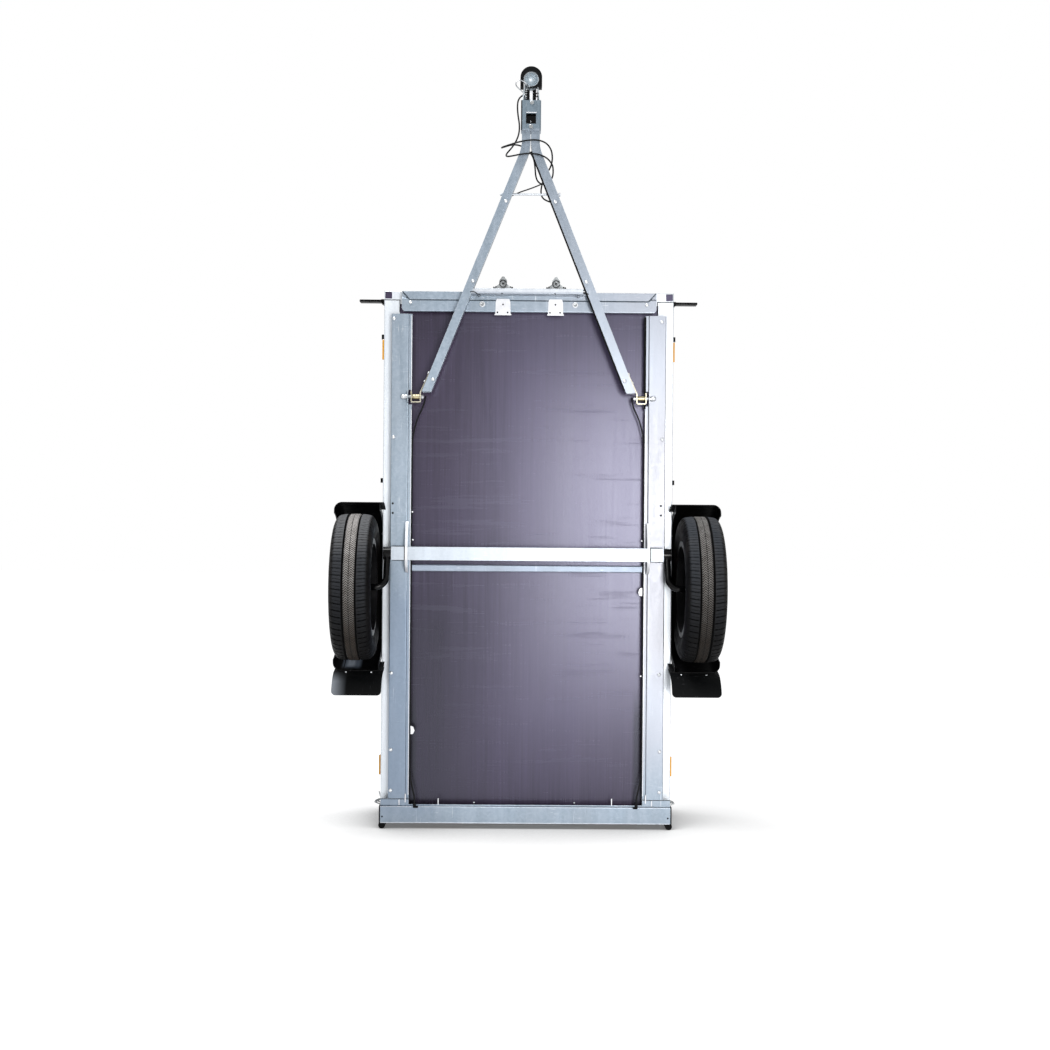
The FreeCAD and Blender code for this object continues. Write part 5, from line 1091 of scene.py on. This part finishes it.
def makeFloor():
    # painted shadow: the camera sees a white floor whose glow fades where the trailer closes it in
    height = min(0.0, cadBox[0][2]) - studio["floorGap"]
    half = studio["floorHalf"]
    mesh = bpy.data.meshes.new("studioFloor")
    mesh.from_pydata([(-half, -half, height), (half, -half, height), (half, half, height),
                      (-half, half, height)], [], [(0, 1, 2, 3)])
    material, tree, shader = newMaterial("studioFloor")
    shader.inputs["Roughness"].default_value = studio["floorRough"]
    shader.inputs["Specular IOR Level"].default_value = 0.0
    shader.inputs["Emission Color"].default_value = white
    path = addNode(tree, "LightPath")
    seen = maths(tree, "MAXIMUM", path.outputs["Is Camera Ray"], path.outputs["Is Glossy Ray"])
    plain, shown = ((studio[key],) * 3 + (1.0,) for key in ("floorTone", "shownTone"))
    colour = mixed(tree, path.outputs["Is Camera Ray"], plain, shown)
    tree.links.new(colour, shader.inputs["Base Color"])
    # painted shadow: the glow seen by camera and gloss falls off with the open sky around each
    # point
    near = addNode(tree, "AmbientOcclusion", [("Distance", studio["shadeReach"])], samples=8)
    glowWithPaintedShadow = ramp(tree, near.outputs["AO"], 0.30, 0.98, studio["floorDark"], studio["floorGlow"])
    tree.links.new(times(tree, seen, glowWithPaintedShadow), shader.inputs["Emission Strength"])
    mesh.materials.append(material)
    floor = bpy.data.objects.new("studioFloor", mesh)
    bpy.context.scene.collection.objects.link(floor)


def makeWorld():
    # soft light for the trailer, plain white for the camera and for gloss and glass
    world = bpy.data.worlds.new("studioWorld")
    bpy.context.scene.world = world
    world.use_nodes = True
    tree = world.node_tree
    tree.nodes.clear()
    path = addNode(tree, "LightPath")
    seen = maths(tree, "MAXIMUM", path.outputs["Is Camera Ray"], path.outputs["Is Glossy Ray"])
    seen = maths(tree, "MAXIMUM", seen, path.outputs["Is Transmission Ray"])
    soft = addNode(tree, "Background", [("Color", studio["worldTint"]),
                                        ("Strength", studio["worldGlow"])])
    plain = addNode(tree, "Background", [("Color", white), ("Strength", 1.0)])
    choose = addNode(tree, "MixShader", [(0, seen), (1, soft.outputs[0]), (2, plain.outputs[0])])
    tree.links.new(choose.outputs[0], addNode(tree, "OutputWorld").inputs[0])


def addLamp(name, facts):
    light = bpy.data.lights.new(name, "AREA")
    light.shape = "RECTANGLE"
    light.size, light.size_y = facts["size"]
    light.energy = facts["power"]
    light.color = facts["tint"]
    lamp = bpy.data.objects.new(name, light)
    bpy.context.scene.collection.objects.link(lamp)
    lamp.location = facts["place"]
    lamp.visible_camera = False
    aim = np.array(studio["aim"]) - np.array(facts["place"])
    lamp.rotation_euler = (math.acos(-aim[2] / np.linalg.norm(aim)), 0,
                           math.atan2(aim[1], aim[0]) - math.pi / 2)


makeFloor()
makeWorld()
for name, facts in lamps.items():
    addLamp(name, facts)
bpy.context.scene.view_settings.view_transform = "Standard"
print("studio set")
